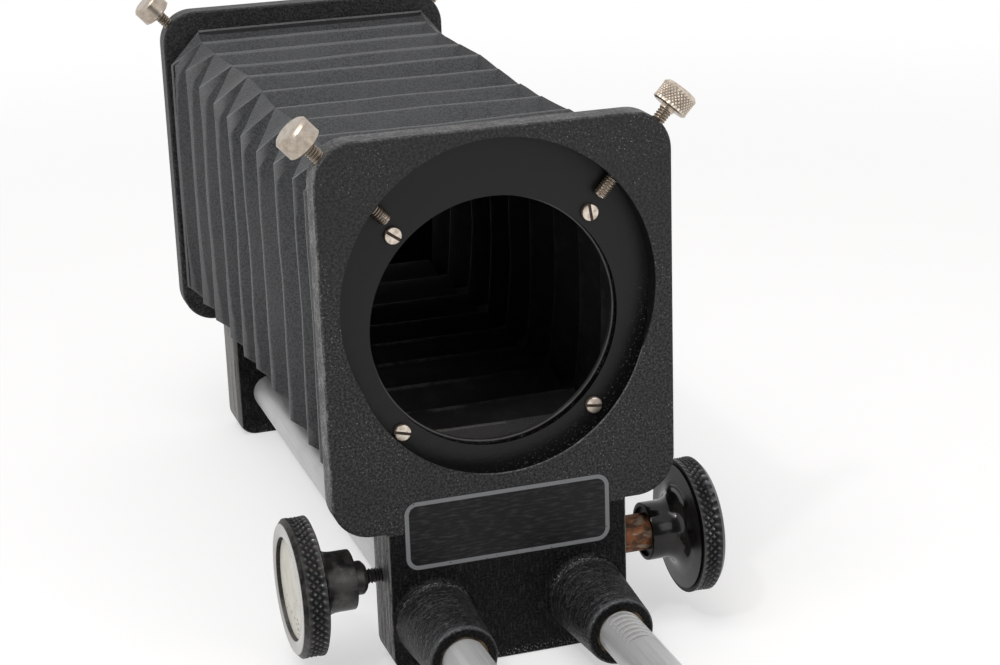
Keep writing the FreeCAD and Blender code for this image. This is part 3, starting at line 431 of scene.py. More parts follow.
def crackle_paint(name, outer_face, inwards, ground_and_lit_side_tone, wear, side_wrap):
    """Black crackle paint on a cast standard: rubbed through on its edges, smoother in the ring seat, with
    painted highlights on its edges and boss rims and painted shade on the foot's face, the boss root and
    the opening's wall.
    """
    finish = CastPaint(name, outer_face, inwards)
    x, y, z, depth = finish.x, finish.y, finish.z, finish.depth
    grain, lumps, in_seat, in_opening = finish.grain, finish.lumps, finish.in_seat, finish.in_opening
    on_foot, on_boss = finish.on_foot, finish.on_boss
    fine = finish.clouds(4.5)
    crazing = finish.cells(1.5)
    # pale edges: partly worn paint, partly painted highlight
    worn_and_glinting = finish.bare_metal_and_edge_glint() * wear
    # pale flecks: partly dust, partly painted glints
    fleck = finish.pale_flecks() * (0.35 + 0.65 * wear)
    bloom = finish.clouds(1.1).step(0.5, 0.78) * z.step(-20.0, 20.0) * (1.0 - in_seat)

    # the foot's sides are ground, with upright scratches through what paint is left; on the rear foot their
    # pale tone is partly painted light on the lit side, and it wraps a little onto the face's edge
    scratches = finish.clouds(1.0, 4.0, finish.stretched((1.3, 1.3, 0.07)))
    side_start = FOOT_HALF_WIDTH - side_wrap
    foot_side = abs(x).step(side_start - 0.35, side_start) * on_foot
    ground = foot_side * (scratches + grain * 0.2).step(0.54, 0.66)
    scored = foot_side * (scratches + grain * 0.1).step(0.46, 0.38)

    # rings left by turning the bosses, seen through the paint and lightened partly as painted glints, and
    # tool marks on the foot's face
    arcs = finish.clouds(1.0, 3.0, finish.joined(from_rail(x, z) * 0.9, y * 3.4, lumps * 5.0))
    strokes = finish.clouds(1.0, 2.0, finish.joined(x * 0.8, y * 6.5 + lumps * 3.0, z * 0.8))
    boss_marks = on_boss * ((arcs + fine * 0.3).step(0.68, 0.8) * 0.3).at_least(strokes.step(0.62, 0.68))
    boss_face = depth.step(BOSS_END + 0.15, BOSS_END + 0.05)
    # a pale bluish arc on the upper part of each boss's rim: painted highlight
    boss_rim_highlight = (depth.step(BOSS_END + 1.4, BOSS_END + 0.9) * depth.step(BOSS_END + 0.1, BOSS_END + 0.4)
                * z.step(RAIL_LEVEL - 4.0, RAIL_LEVEL + 5.0))
    root_line = depth.step(BOSS_ROOT, -0.5) * depth.step(-0.02, -0.2)
    tool_marks = finish.clouds(1.0, 3.0, finish.stretched((2.2, 1.0, 0.45))).step(0.5, 0.72)
    on_foot_face = on_foot * (1.0 - on_boss)

    # the foot's face, the bosses' end faces and the line round each boss's root are darkened, with metallic
    # over a near-black base to cut their reflection: painted shade
    dull_painted_shade = (on_foot * (1.0 - foot_side) * (1.0 - on_boss * 0.5)).at_least(boss_face).at_least(root_line)
    softened = z.step(-5.0, 25.0) * 0.4
    colour = finish.coated(
        finish.mixed((grain + fine * 0.3).step(0.5, 0.85), grey(0.003), grey(0.042)),
        (softened, grey(0.015)),
        (dull_painted_shade * 0.7, grey(0.006)),
        (on_foot_face * tool_marks * 0.5, grey(0.045)),
        (in_seat, grey(0.006)),
        (in_opening, grey(0.001)),
        (bloom * 0.38, grey(0.055)),
        (boss_marks * (1.0 - boss_face) * 0.8, grey(0.22, -0.03)),
        (boss_rim_highlight * grain, grey(0.13, -0.06)),
        (foot_side * 0.8, grey(ground_and_lit_side_tone, 0.03)),
        (ground * 0.9, grey(0.2, 0.03)),
        (scored * 0.8, grey(0.004)),
        (worn_and_glinting, grey(0.3, 0.02)),
        (fleck * 0.75, grey(0.3)))

    height = (grain * 0.6 + crazing * 0.6 + fine * 0.35) * (1.0 - softened) * (1.0 - in_seat * 0.85)
    height = height + arcs * on_boss * 0.5 + lumps * 0.3 + foot_side * scratches
    return finish.vary({
        "Base Color": colour,
        "Roughness": 0.6 - grain * 0.2 - in_seat * 0.1 - worn_and_glinting * 0.1,
        "Metallic": (dull_painted_shade * 0.85).at_least(in_opening * 0.9).at_least(worn_and_glinting.at_least(ground) * 0.4)
        * (1.0 - fleck),
        "Normal": finish.relief(height, 0.3, 0.75),
    })


def satin_paint(name):
    """Even satin black on thin sheet, with faint rubbing and a pale line round the lower right of the
    hole's front edge, partly wear and partly painted highlight.
    """
    finish = Finish(name, {"Specular IOR Level": 0.5})
    x, y, z = finish.parts()
    from_axis = distance(x, z)
    front_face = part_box("front_bellows_frame")[0].y / MM
    # pale line on the lower right of the hole's edge: partly wear, partly painted highlight
    rim = from_axis.step(FRAME_RADIUS + 0.28, FRAME_RADIUS + 0.16)
    rim = rim * y.step(front_face + 0.4, front_face + 0.2) * (x - z).step(-25.0, 5.0)
    grain = finish.clouds(3.0)
    smears = finish.clouds(0.15)
    colour = finish.mixed(smears.step(0.4, 0.75), grey(0.01), grey(0.028))
    return finish.vary({
        "Base Color": finish.mixed(rim * (smears + 0.2), colour, grey(0.16, 0.06)),
        "Roughness": 0.38 + smears * 0.2,
        "Normal": finish.relief(grain, 0.04, 0.5),
    })


def leathercloth(name):
    """Dark grey grained cloth, paler along each ridge, with painted shade down in its folds."""
    finish = Finish(name, {"Specular IOR Level": 0.35, "Sheen Weight": 0.08, "Sheen Roughness": 0.5})
    place = finish.in_millimetres(finish.carried("cloth_place", "Vector"))
    ridge = finish.carried("ridge")
    x, y, _ = finish.parts(place)
    pebbles = finish.cells(2.3, "SMOOTH_F1", place)
    grain = finish.clouds(3.4, 2.0, place)
    fade = finish.clouds(0.05, 3.0, place)
    crumble = finish.clouds(0.9, 2.0, place)
    on_side = abs(x).step(33.0, 36.0)
    softer = y.step(50.0, 160.0)
    # paler along each ridge, more on the sides and less towards the rear
    pale_ridge = (ridge + softer * 0.06).step(0.925, 0.985) * (0.4 + crumble * 0.5 + on_side * 0.35)
    # darker near the valleys: painted shade in the folds
    fold_shade = ridge.step(0.2, 0.0)
    colour = finish.coated(
        finish.mixed((pebbles + grain * 0.3).step(0.4, 0.75), grey(0.06, -0.04), grey(0.03, -0.04)),
        (fade.step(0.35, 0.7) * 0.35, grey(0.07, -0.02)),
        (fold_shade * 0.5, grey(0.018)),
        (pale_ridge * (0.8 - softer * 0.3), grey(0.2, -0.01)))
    return finish.vary({
        "Base Color": colour,
        "Roughness": 0.62 + grain * 0.16,
        "Normal": finish.relief(1.0 - pebbles + grain * 0.5, 0.2, 0.9),
    })


def lining(name):
    """Dull black cloth inside the bellows, with painted highlights along the inner crests of its folds,
    stronger on the left, and a strip of grained cloth glued in at the front edge.
    """
    finish = Finish(name, {"Specular IOR Level": 0.4})
    x, y, z = finish.parts()
    ridge = finish.carried("ridge")
    weave = finish.clouds(2.2)
    dust = finish.clouds(0.25, 3.0)
    # painted highlights along the folds' inner crests, fainter on the right
    crest_highlight = (ridge + weave * 0.06).step(0.14, 0.06) * dust.step(0.35, 0.6)
    crest_highlight = crest_highlight * (x.step(15.0, -15.0) * 0.8 + 0.1)
    strip_end = x.step(STRIP_NOTCH_SIDE - 0.2, STRIP_NOTCH_SIDE) * STRIP_NOTCH + STRIP_END
    low_down = z.step(STRIP_TOP, STRIP_TOP - 4.0)
    strip = (y - strip_end).step(0.2, -0.2) * low_down
    hem = abs(y - strip_end).step(0.5, 0.2) * low_down
    colour = finish.coated(
        finish.mixed(dust.step(0.45, 0.75), grey(0.01), grey(0.018, 0.03)),
        (crest_highlight * 0.8, grey(0.14, 0.02)),
        (strip, grey(0.05, 0.03)),
        (hem * 0.8, grey(0.14, 0.05)))
    return finish.vary({
        "Base Color": colour,
        "Roughness": 0.8 + weave * 0.15,
        "Normal": finish.relief(weave + strip * weave, 0.25, 0.8),
    })


def ground_steel(name, with_rack):
    """Satin steel rod with a milky bloom and faint scratches along it. The rack's gaps are duller."""
    finish = Finish(name, {"Specular IOR Level": 0.5})
    x, _, z = finish.parts()
    streaks = finish.clouds(1.0, 3.0, finish.stretched((2.2, 0.06, 2.2)))
    smears = finish.clouds(0.12, 3.0)
    specks = finish.clouds(1.3, 1.0).step(0.74, 0.8)
    colour = finish.coated(
        finish.mixed(streaks.step(0.3, 0.7), grey(0.54), grey(0.6)),
        (smears.step(0.45, 0.75) * 0.3, grey(0.46, 0.02)),
        (specks * 0.35, grey(0.2, 0.06)))
    rough = 0.4 + streaks * 0.06 + smears * 0.08
    if with_rack:
        between = from_rail(x, z).step(RAIL_RADIUS - 0.05, RAIL_RADIUS - 0.5)
        colour = finish.mixed(between * 0.6, colour, grey(0.3, 0.09))
        rough = rough + between * 0.2
    return finish.vary({
        "Base Color": colour,
        "Roughness": rough,
        "Metallic": 0.5 - smears * 0.1,
        "Normal": finish.relief(streaks, 0.015, 0.3),
    })


def dull_nickel(name, tone, grime):
    """Nickel plating with a warm cast, dirty in the hollows, and brighter on the knurl's peaks as wear and
    painted glints.
    """
    finish = Finish(name, {"Metallic": 1.0})
    hollow = finish.carried("hollow")
    stains = finish.clouds(0.8, 3.0)
    fine = finish.clouds(6.0)
    colour = finish.coated(
        finish.mixed(stains.step(0.35, 0.7) * grime, grey(tone, 0.15), grey(tone * 0.6, 0.24)),
        (hollow * 0.75, grey(tone * 0.22, 0.28)),
        # brighter peaks: wear and painted glints
        (finish.carried("peak") * 0.5, grey(tone * 1.4, 0.12)))
    return finish.vary({
        "Base Color": colour,
        "Roughness": 0.24 + stains * 0.14 + hollow * 0.25,
        "Normal": finish.relief(fine, 0.015, 0.4),
    })


def slotted_nickel(name):
    """Nickel screw heads, dark brown in their slots and round their sides: painted shade."""
    finish = Finish(name, {"Metallic": 1.0})
    _, y, _ = finish.parts()
    below_face = y.at_most(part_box("rear_standard")[1].y / MM - y) - SCREW_FACE
    stains = finish.clouds(0.9, 3.0)
    # dark brown in the slots and on the heads' sides: painted shade
    slot_and_side_shade = (below_face + stains * 0.2).step(0.12, 0.3)
    colour = finish.mixed(stains.step(0.35, 0.7), grey(0.7, 0.12), grey(0.42, 0.2))
    colour = finish.mixed(slot_and_side_shade * 0.92, colour, (0.05, 0.026, 0.014, 1))
    return finish.vary({
        "Base Color": colour,
        "Roughness": 0.34 + stains * 0.12 + slot_and_side_shade * 0.3,
        "Metallic": 1.0 - slot_and_side_shade * 0.8,
        "Normal": finish.relief(stains, 0.03, 0.4),
    })


def dark_steel(name):
    """Blackened steel screws."""
    finish = Finish(name, {"Metallic": 0.8})
    stains = finish.clouds(1.2, 3.0)
    return finish.vary({
        "Base Color": finish.mixed(stains, grey(0.05), grey(0.12)),
        "Roughness": 0.35 + stains * 0.2,
        "Normal": finish.relief(stains, 0.03, 0.5),
    })


def turned_brass(name, clean, brown):
    """Brass with turning marks and a brown bloom."""
    finish = Finish(name, {"Metallic": 1.0})
    marks = finish.clouds(1.0, 2.0, finish.stretched((0.4, 6.0, 0.4)))
    bloom = finish.clouds(0.5, 3.0)
    return finish.vary({
        "Base Color": finish.mixed(bloom.step(0.35, 0.7), clean, brown),
        "Roughness": 0.3 + bloom * 0.2,
        "Normal": finish.relief(marks, 0.02, 0.5),
    })


def rusty_steel(name):
    """Steel shaft under a thin coat of rust, with old grease in pale patches."""
    finish = Finish(name, {"Specular IOR Level": 0.4})
    blotches = finish.clouds(0.55, 4.0)
    grit = finish.clouds(2.6, 3.0)
    bands = finish.clouds(0.5, 3.0, finish.stretched((0.6, 1.0, 1.6)))
    colour = finish.coated(
        finish.mixed(blotches.step(0.38, 0.62), (0.075, 0.036, 0.018, 1), (0.25, 0.085, 0.03, 1)),
        (grit.step(0.55, 0.75) * 0.6, (0.035, 0.024, 0.018, 1)),
        (bands.step(0.52, 0.66) * 0.75, (0.33, 0.27, 0.2, 1)))
    return finish.vary({
        "Base Color": colour,
        "Roughness": 0.55 + grit * 0.25,
        "Metallic": blotches.step(0.6, 0.4) * 0.3,
        "Normal": finish.relief(grit + blotches * 0.5, 0.12, 0.6),
    })


def black_moulding(name, wear, face):
    """Hard black moulding, polished on hub and web, with painted glints on the peaks of its rim, painted
    shade in its knurl's hollows, groove and hub end, and a paler flat face.
    """
    finish = Finish(name, {"Specular IOR Level": 0.5})
    x, y, z = finish.parts()
    axle = FOCUS_AXLE / MM
    hub, groove_radius = KNOB_HUB_RADIUS / MM, KNOB_GROOVE_RADIUS / MM
    groove = face - (KNOB_RIM_WIDTH - KNOB_WEB_DISH) / MM
    groove_end = groove + KNOB_GROOVE_WIDTH / MM
    bevel = face - KNOB_FACE_BEVEL / MM
    reach = abs(x)
    from_axle = distance(y - axle.y, z - axle.z)
    in_groove = (reach.step(groove - 0.02, groove + 0.02)
                 * from_axle.step(groove_radius - 0.2, groove_radius - 0.1)
                 * reach.step(groove_end + 0.1, groove_end))
    # metallic over the black base cuts the hub's reflection: painted shade
    on_hub = from_axle.step(hub + 0.95, hub + 0.15)
    hub_end = (abs(from_axle - KNOB_HUB_END_MIDDLE / MM).step(1.3, 1.15)
               * reach.step(groove, groove - 1.0))
    on_web = from_axle.step(9.0, 11.5)
    # the bevel's upper part is darkened the same way: painted shade
    upper_bevel = (reach.step(bevel, bevel + 0.1)
                   * z.step(axle.z - 10.0, axle.z + 4.0).at_least(1.0 - 1.4 * wear))
    on_face = reach.step(face - 0.12, face - 0.04)
    off_face = 1.0 - on_face
    bloom = finish.clouds(0.22, 3.0)
    blotches = finish.clouds(0.6, 4.0)
    scuffs = finish.clouds(1.0, 3.0, finish.stretched((0.35, 1.1, 1.1)))
    dust = finish.clouds(3.4, 1.0).step(0.7, 0.78)
    # glints painted on the knurl's peaks, in patches
    wear_and_glint_spread = finish.clouds(0.9).step(0.4, 0.62)
    glint = finish.carried("peak").step(0.55, 0.95) * (wear_and_glint_spread * 0.8 + 0.1)
    # knurl hollows, the groove and the hub's end made near black, with their reflection cut: painted shade
    recess_shade = (finish.carried("hollow") * 0.75).at_least(in_groove * 0.8).at_least(hub_end)
    colour = finish.coated(
        finish.mixed(bloom.step(0.35, 0.7), grey(0.004, 0.03), grey(0.012 + 0.03 * wear, 0.08)),
        (blotches.step(0.45, 0.65) * wear * 0.8, grey(0.055, 0.1)),
        (scuffs.step(0.5, 0.75) * wear * 0.6, grey(0.075, 0.05)),
        (recess_shade * 0.9, grey(0.002)),
        (glint * 0.85, (0.22, 0.26, 0.3, 1)),
        (on_face, grey(0.32, 0.05)),
        (dust * (0.1 + 0.25 * wear) * off_face, grey(0.3)))
    polish = 0.05 + 0.33 * wear + bloom * 0.1 + recess_shade * 0.25 + on_web * 0.18
    return finish.vary({
        "Base Color": colour,
        "Roughness": (polish * (1.0 - glint) + glint * 0.24) * off_face + on_face * 0.08,
        "Metallic": (glint * 0.6).at_least(recess_shade * 0.8).at_least(on_hub * (0.5 - 0.45 * wear))
        .at_least(upper_bevel * off_face * 0.85),
        "Normal": finish.relief(scuffs + blotches * wear, 0.03, 0.2 + 0.5 * wear),
    })


def ivory_disc(name):
    """Warm white sheet let into a knob, with dark specks towards its lower edge."""
    finish = Finish(name, {"Specular IOR Level": 0.4})
    _, _, z = finish.parts()
    blot = finish.clouds(0.3, 3.0)
    low_down = z.step(FOCUS_AXLE.z / MM + 1.0, FOCUS_AXLE.z / MM - 6.0)
    spots = finish.cells(1.0, place=finish.stretched((0.1, 0.35, 1.3)))
    specks = spots.step(0.3, 0.2) * low_down * finish.clouds(0.4).step(0.45, 0.55)
    colour = finish.mixed(blot.step(0.35, 0.7) * 0.6, (0.68, 0.66, 0.58, 1), (0.56, 0.53, 0.46, 1))
    colour = finish.mixed(specks * 0.85, colour, grey(0.04, 0.1))
    return finish.vary({
        "Base Color": colour,
        "Roughness": 0.4 + blot * 0.2,
        "Normal": finish.relief(blot, 0.03, 0.4),
    })


def bordered_plate(name):
    """Smooth black plate with a thin grey line round it and nothing inside the line."""
    finish = Finish(name, {"Specular IOR Level": 0.22})
    x, _, z = finish.parts()
    low, high = (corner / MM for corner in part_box("label_plate"))
    outline = from_outline(x - (low.x + high.x) / 2, z - (low.z + high.z) / 2,
                           (high.x - low.x) / 2, (high.z - low.z) / 2, LABEL_CORNER)
    rubs = finish.clouds(1.1, 3.0)
    scratches = finish.clouds(1.0, 3.0, finish.stretched((0.35, 1.0, 2.0)))
    border = (abs(outline + LABEL_BORDER_INSET).step(0.5, 0.42)
              * (rubs + scratches * 0.3).step(0.38, 0.52))
    field = finish.mixed(scratches.step(0.45, 0.75) * 0.6, grey(0.004, -0.05), grey(0.042, -0.05))
    return finish.vary({
        "Base Color": finish.mixed(border * 0.95, field, grey(0.2, -0.03)),
        "Roughness": 0.3 + rubs * 0.16 + border * 0.12,
        "Normal": finish.relief(border * 0.5 + scratches * 0.15, 0.05, 0.6),
    })


def paper(name):
    """White paper sweep. The camera and polished metal see it white, and it keeps the shadow."""
    finish = Finish(name, {"Specular IOR Level": 0.0, "Roughness": 1.0, "Emission Strength": 1.0})
    camera_ray, glossy_ray, through = finish.rays("Is Camera Ray", "Is Glossy Ray", "Is Transmission Ray")
    seen = camera_ray.at_least(glossy_ray).at_least(through)
    x, y, _ = finish.parts()
    far = distance(x, y - PAPER_MIDDLE).step(PAPER_FADE_START, PAPER_FADE_END)
    lit = finish.mixed(finish.clouds(0.05, 4.0), grey(0.83), grey(0.86))
    return finish.vary({
        "Base Color": finish.mixed(seen, lit, finish.mixed(far, grey(0.56, 0.01), grey(0.0))),
        "Emission Color": finish.mixed(seen, grey(0.0), finish.mixed(far, grey(0.48), grey(1.0))),
    })


# ---------------- mesh helpers

def placed(name, data):
    """Puts an object made of the data into the scene."""
    thing = bpy.data.objects.new(name, data)
    bpy.context.scene.collection.objects.link(thing)
    return thing


def finished(name, bm, finishes, smooth_below=SMOOTH_BELOW):
    """Closes the mesh's seams, turns its faces outwards and makes it an object at the origin."""
    bmesh.ops.remove_doubles(bm, verts=bm.verts, dist=WELD)
    bmesh.ops.recalc_face_normals(bm, faces=bm.faces)
    for face in bm.faces:
        face.smooth = True
    for edge in bm.edges:
        edge.smooth = edge.calc_face_angle(0.0) < smooth_below
    mesh = bpy.data.meshes.new(name)
    bm.to_mesh(mesh)
    bm.free()
    for finish in finishes:
        mesh.materials.append(finish.material)
    return placed(name, mesh)


def stand_in(piece, body, nodes):
    """The piece rides on a body and stands for plain solids that share its finish."""
    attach(piece, body)
    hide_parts(*nodes)


def band(start, end, radius, rows):
    """Profile points of a straight band, at the ends of its rows of knurling."""
    return [(start + (end - start) * row / rows, radius) for row in range(rows + 1)]


def thread_core(radius, pitch):
    """Radius of the rod inside a thread, which stands a little above the thread's bottom."""
    return radius - pitch * THREAD_DEPTH_SHARE * THREAD_CORE_SHARE


class Lathe:
    """Turns profiles about one axis. A profile is a run of (distance along, radius) pairs."""

    def __init__(self, bm, centre, along, steps):
        self.bm = bm
        self.centre = centre
        self.along = along
        self.aside = Y_AXIS
        self.steps = steps
        self.peak = bm.verts.layers.float.new("peak")
        self.hollow = bm.verts.layers.float.new("hollow")

    def turned(self, profile):
        """A full turn, closed on itself."""
        verts = [self.bm.verts.new(self.centre + self.along * reach + self.aside * radius)
                 for reach, radius in profile]
        edges = [self.bm.edges.new(pair) for pair in zip(verts, verts[1:])]
        bmesh.ops.spin(self.bm, geom=verts + edges, cent=self.centre, axis=self.along,
                       angle=FULL_TURN, steps=self.steps, use_merge=True)

    def knurled(self, start, end, radius, rows, depth):
        """Cuts diamonds into the band: every second corner of its grid goes down, and grooves join them."""
        pitch = (end - start) / rows
        contrast = min(depth / KNURL_FULL_MARK_DEPTH, 1.0)
        lows = []
        for vert in self.bm.verts:
            offset = vert.co - self.centre
            reach = offset.dot(self.along)
            out = offset - self.along * reach
            if abs(out.length - radius) > pitch / 4:
                continue
            turn = math.atan2(out.dot(self.along.cross(self.aside)), out.dot(self.aside))
            column = round(turn / FULL_TURN * self.steps)
            row = round((reach - start) / pitch)
            if (row + column) % 2 and 0 < row < rows:
                vert.co -= out.normalized() * depth
                vert[self.hollow] = contrast
                lows.append(vert)
            elif 0 < row < rows:
                vert[self.peak] = contrast
        bmesh.ops.connect_verts(self.bm, verts=lows)

    def threaded(self, start, end, radius, pitch):
        """A screw thread: a zigzag line swept round and along the axis, then cut square at both ends."""
        thread = bmesh.new()
        hollow = thread.verts.layers.float.new("hollow")
        thread.verts.layers.float.new("peak")
        depth = pitch * THREAD_DEPTH_SHARE
        halves = 2 * math.ceil((end - start) / pitch) + 5
        verts = []
        for half in range(halves):
            reach = start + (half / 2 - 1.5) * pitch
            vert = thread.verts.new(self.centre + self.along * reach
                                    + self.aside * (radius - depth * (half % 2)))
            vert[hollow] = 1.0 if half % 2 else 0.4
            verts.append(vert)
        edges = [thread.edges.new(pair) for pair in zip(verts, verts[1:])]
        bmesh.ops.spin(thread, geom=verts + edges, cent=self.centre, axis=self.along,
                       dvec=self.along * (pitch / THREAD_STEPS), angle=FULL_TURN, steps=THREAD_STEPS)
        bmesh.ops.remove_doubles(thread, verts=thread.verts, dist=WELD)
        for reach, outward in ((start, -1), (end, 1)):
            bmesh.ops.bisect_plane(thread, geom=thread.verts[:] + thread.edges[:] + thread.faces[:],
                                   plane_co=self.centre + self.along * reach,
                                   plane_no=self.along * outward, clear_outer=True)
        rim = [edge for edge in thread.edges if edge.is_boundary]
        bmesh.ops.holes_fill(thread, edges=rim)
        held = bpy.data.meshes.new("thread")
        thread.to_mesh(held)
        thread.free()
        self.bm.from_mesh(held)
        bpy.data.meshes.remove(held)


# ---------------- pleated cloth

def pleat_ring(bm, y, half_width, half_height, cut_across, cut_up, lean=0.0):
    """A rectangle with cut corners, square to the optical axis: one crease. Its top leans to the right."""
    evened = cut_across / cut_up
    corners = bmesh.ops.create_grid(bm, x_segments=1, y_segments=1, size=1.0)["verts"]
    bmesh.ops.scale(bm, vec=(half_width, half_height * evened, 1.0), verts=corners)
    cut = bmesh.ops.bevel(bm, geom=corners, offset=cut_across, offset_type="ABSOLUTE", affect="VERTICES",
                          segments=1, profile=0.5, material=-1)
    ring = list({vert for face in cut["faces"] for vert in face.verts} | set(cut["verts"]))
    bmesh.ops.scale(bm, vec=(1.0, 1.0 / evened, 1.0), verts=ring)
    bmesh.ops.rotate(bm, cent=(0, 0, 0), matrix=Matrix.Rotation(math.pi / 2, 3, "X"), verts=ring)
    top = [vert for vert in ring if vert.co.z > half_height - cut_up / 2]
    bmesh.ops.translate(bm, vec=(lean, 0, 0), verts=top)
    bmesh.ops.translate(bm, vec=(0, y, 0), verts=ring)
    edges = list({edge for vert in ring for edge in vert.link_edges})
    inner = list({face for vert in ring for face in vert.link_faces})
    bmesh.ops.delete(bm, geom=inner, context="FACES_ONLY")
    return edges


def fold_cloth(bm, low, high, ridges, valleys):
    """Joins the creases into one tube, from cuff to cuff, and rounds its folds."""
    cuff = (CUFF_HALF_WIDTH, CUFF_HALF_HEIGHT, CUFF_CUT, CUFF_CUT)
    valley = (VALLEY_HALF_WIDTH, VALLEY_HALF_HEIGHT, VALLEY_CUT, VALLEY_CUT)
    creases = [(y, valley) for y in valleys] + [(y, (*shape, RIDGE_LEAN)) for y, *shape in ridges]
    rings = [pleat_ring(bm, y, *shape) for y, shape in [(low, cuff), *sorted(creases), (high, cuff)]]
    for near, far in zip(rings, rings[1:]):
        bmesh.ops.bridge_loops(bm, edges=near + far)
    folds = rings[1:-1]
    for chosen, rounding, segments in ((folds[0::2], RIDGE_ROUNDING, 2), (folds[1::2], VALLEY_ROUNDING, 1)):
        bmesh.ops.bevel(bm, geom=[edge for ring in chosen for edge in ring], offset=rounding,
                        offset_type="OFFSET", affect="EDGES", segments=segments, profile=0.5, material=-1)


def side_valley(vert, valleys):
    """The number of the valley whose crease down the cloth's side holds the point, or None."""
    number = min(range(len(valleys)), key=lambda n: abs(vert.co.y - valleys[n]))
    in_valley = abs(vert.co.y - valleys[number]) < 2 * VALLEY_ROUNDING
    on_side = abs(vert.co.x) > VALLEY_HALF_WIDTH - VALLEY_CUT / 2
    return number if in_valley and on_side else None


def raise_gussets(bm, valleys):
    """The sides' valleys run up into gussets that stand as high as the ridges beside them."""
    for vert in bm.verts:
        if side_valley(vert, valleys) is not None:
            vert.co.z = math.copysign(GUSSET_HEIGHT, vert.co.z)
    corners = [face for face in bm.faces if len(face.verts) == 4
               and all(edge.calc_length() < CORNER_REACH for edge in face.edges)]
    bmesh.ops.triangulate(bm, faces=corners, quad_method="SHORT_EDGE")
    long_edges = [edge for edge in bm.edges if edge.calc_length() > CORNER_REACH]
    bmesh.ops.subdivide_edges(bm, edges=long_edges, cuts=FOLD_CUTS, use_grid_fill=True)


def tuck_valleys(bm, ridges, valleys):
    """Towards its ends each side valley runs back to the corner of the ridge behind it."""
    for vert in bm.verts:
        number = side_valley(vert, valleys)
        if number is None:
            continue
        y, half_width, half_height, cut_across, _ = ridges[number + 1]
        lean = RIDGE_LEAN if vert.co.z > 0 else 0.0
        corner = Vector((math.copysign(half_width - cut_across, vert.co.x) + lean, y,
                         math.copysign(half_height, vert.co.z)))
        reach = (abs(vert.co.z) - TUCK_START) / (GUSSET_HEIGHT - TUCK_START)
        vert.co = vert.co.lerp(corner, max(reach, 0.0) * TUCK_SHARE)
    slopes = [edge for edge in bm.edges if abs(edge.verts[0].co.y - edge.verts[1].co.y) > SLOPE_REACH]
    bmesh.ops.subdivide_edges(bm, edges=slopes, cuts=SLOPE_CUTS, use_grid_fill=True)


def mark_folds(bm, tops, stops):
    """Notes how near each point is to a ridge, and where it lies on the flat cloth, for the finish."""
    share = bm.verts.layers.float.new("ridge")
    rest = bm.verts.layers.float_vector.new("cloth_place")
    for vert in bm.verts:
        y = vert.co.y
        number = min(range(len(tops)), key=lambda n: abs(tops[n] - y))
        edge_of_fold = stops[number] if y < tops[number] else stops[number + 1]
        vert[share] = 1 - min(abs((y - tops[number]) / (edge_of_fold - tops[number])), 1)
        vert[rest] = vert.co


def ruffle(bm, low, high):
    """Hand-folded cloth doesn't lie quite flat, except where the frames hold it."""
    noise.seed_set(CLOTH_WAVE_SEED)
    for vert in bm.verts:
        free = min((vert.co.y - low) / CLOTH_STILL_END, (high - vert.co.y) / CLOTH_STILL_END, 1.0)
        wave = noise.noise_vector(vert.co / CLOTH_WAVE_LENGTH)
        buckle = noise.noise(vert.co / (CLOTH_WAVE_LENGTH / 3)) * 0.3
        outward = Vector((vert.co.x, 0, vert.co.z)).normalized()
        vert.co += free * CLOTH_WAVE * (wave + outward * buckle)


def pleated_cloth(cloth, inside):
    """The bellows: a pleated tube with walls, between the standards."""
    low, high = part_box("bellows")
    ridges = [[size * MM for size in row] for row in RIDGES]
    tops = [row[0] for row in ridges]
    valleys = [(near + far) / 2 for near, far in zip(tops, tops[1:])]
    bm = bmesh.new()
    fold_cloth(bm, low.y, high.y, ridges, valleys)
    raise_gussets(bm, valleys)
    tuck_valleys(bm, ridges, valleys)
    mark_folds(bm, tops, [low.y, *valleys, high.y])
    ruffle(bm, low.y, high.y)
    piece = finished("pleated_cloth", bm, [cloth, inside], CLOTH_SMOOTH_BELOW)
    wall = piece.modifiers.new("cloth_wall", "SOLIDIFY")
    wall.thickness = CLOTH_THICKNESS
    wall.offset = -1.0
    wall.material_offset = 1
    wall.material_offset_rim = 1
    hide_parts("bellows")
    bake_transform(piece)


# ---------------- knobs and screws

def flare_profile(hub_end, hub_radius, web_end, web_radius, size):
    """Points of the hollow curve that leads from the hub's side into the web's back."""
    slope = Vector((web_end - hub_end, web_radius - hub_radius)).normalized()
    start = Vector((hub_end - size, hub_radius))
    corner = Vector((hub_end, hub_radius))
    end = corner + slope * size
    shares = [count / KNOB_FLARE_STEPS for count in range(KNOB_FLARE_STEPS + 1)]
    return [tuple(start * (1 - share) ** 2 + corner * 2 * share * (1 - share) + end * share ** 2)
            for share in shares]


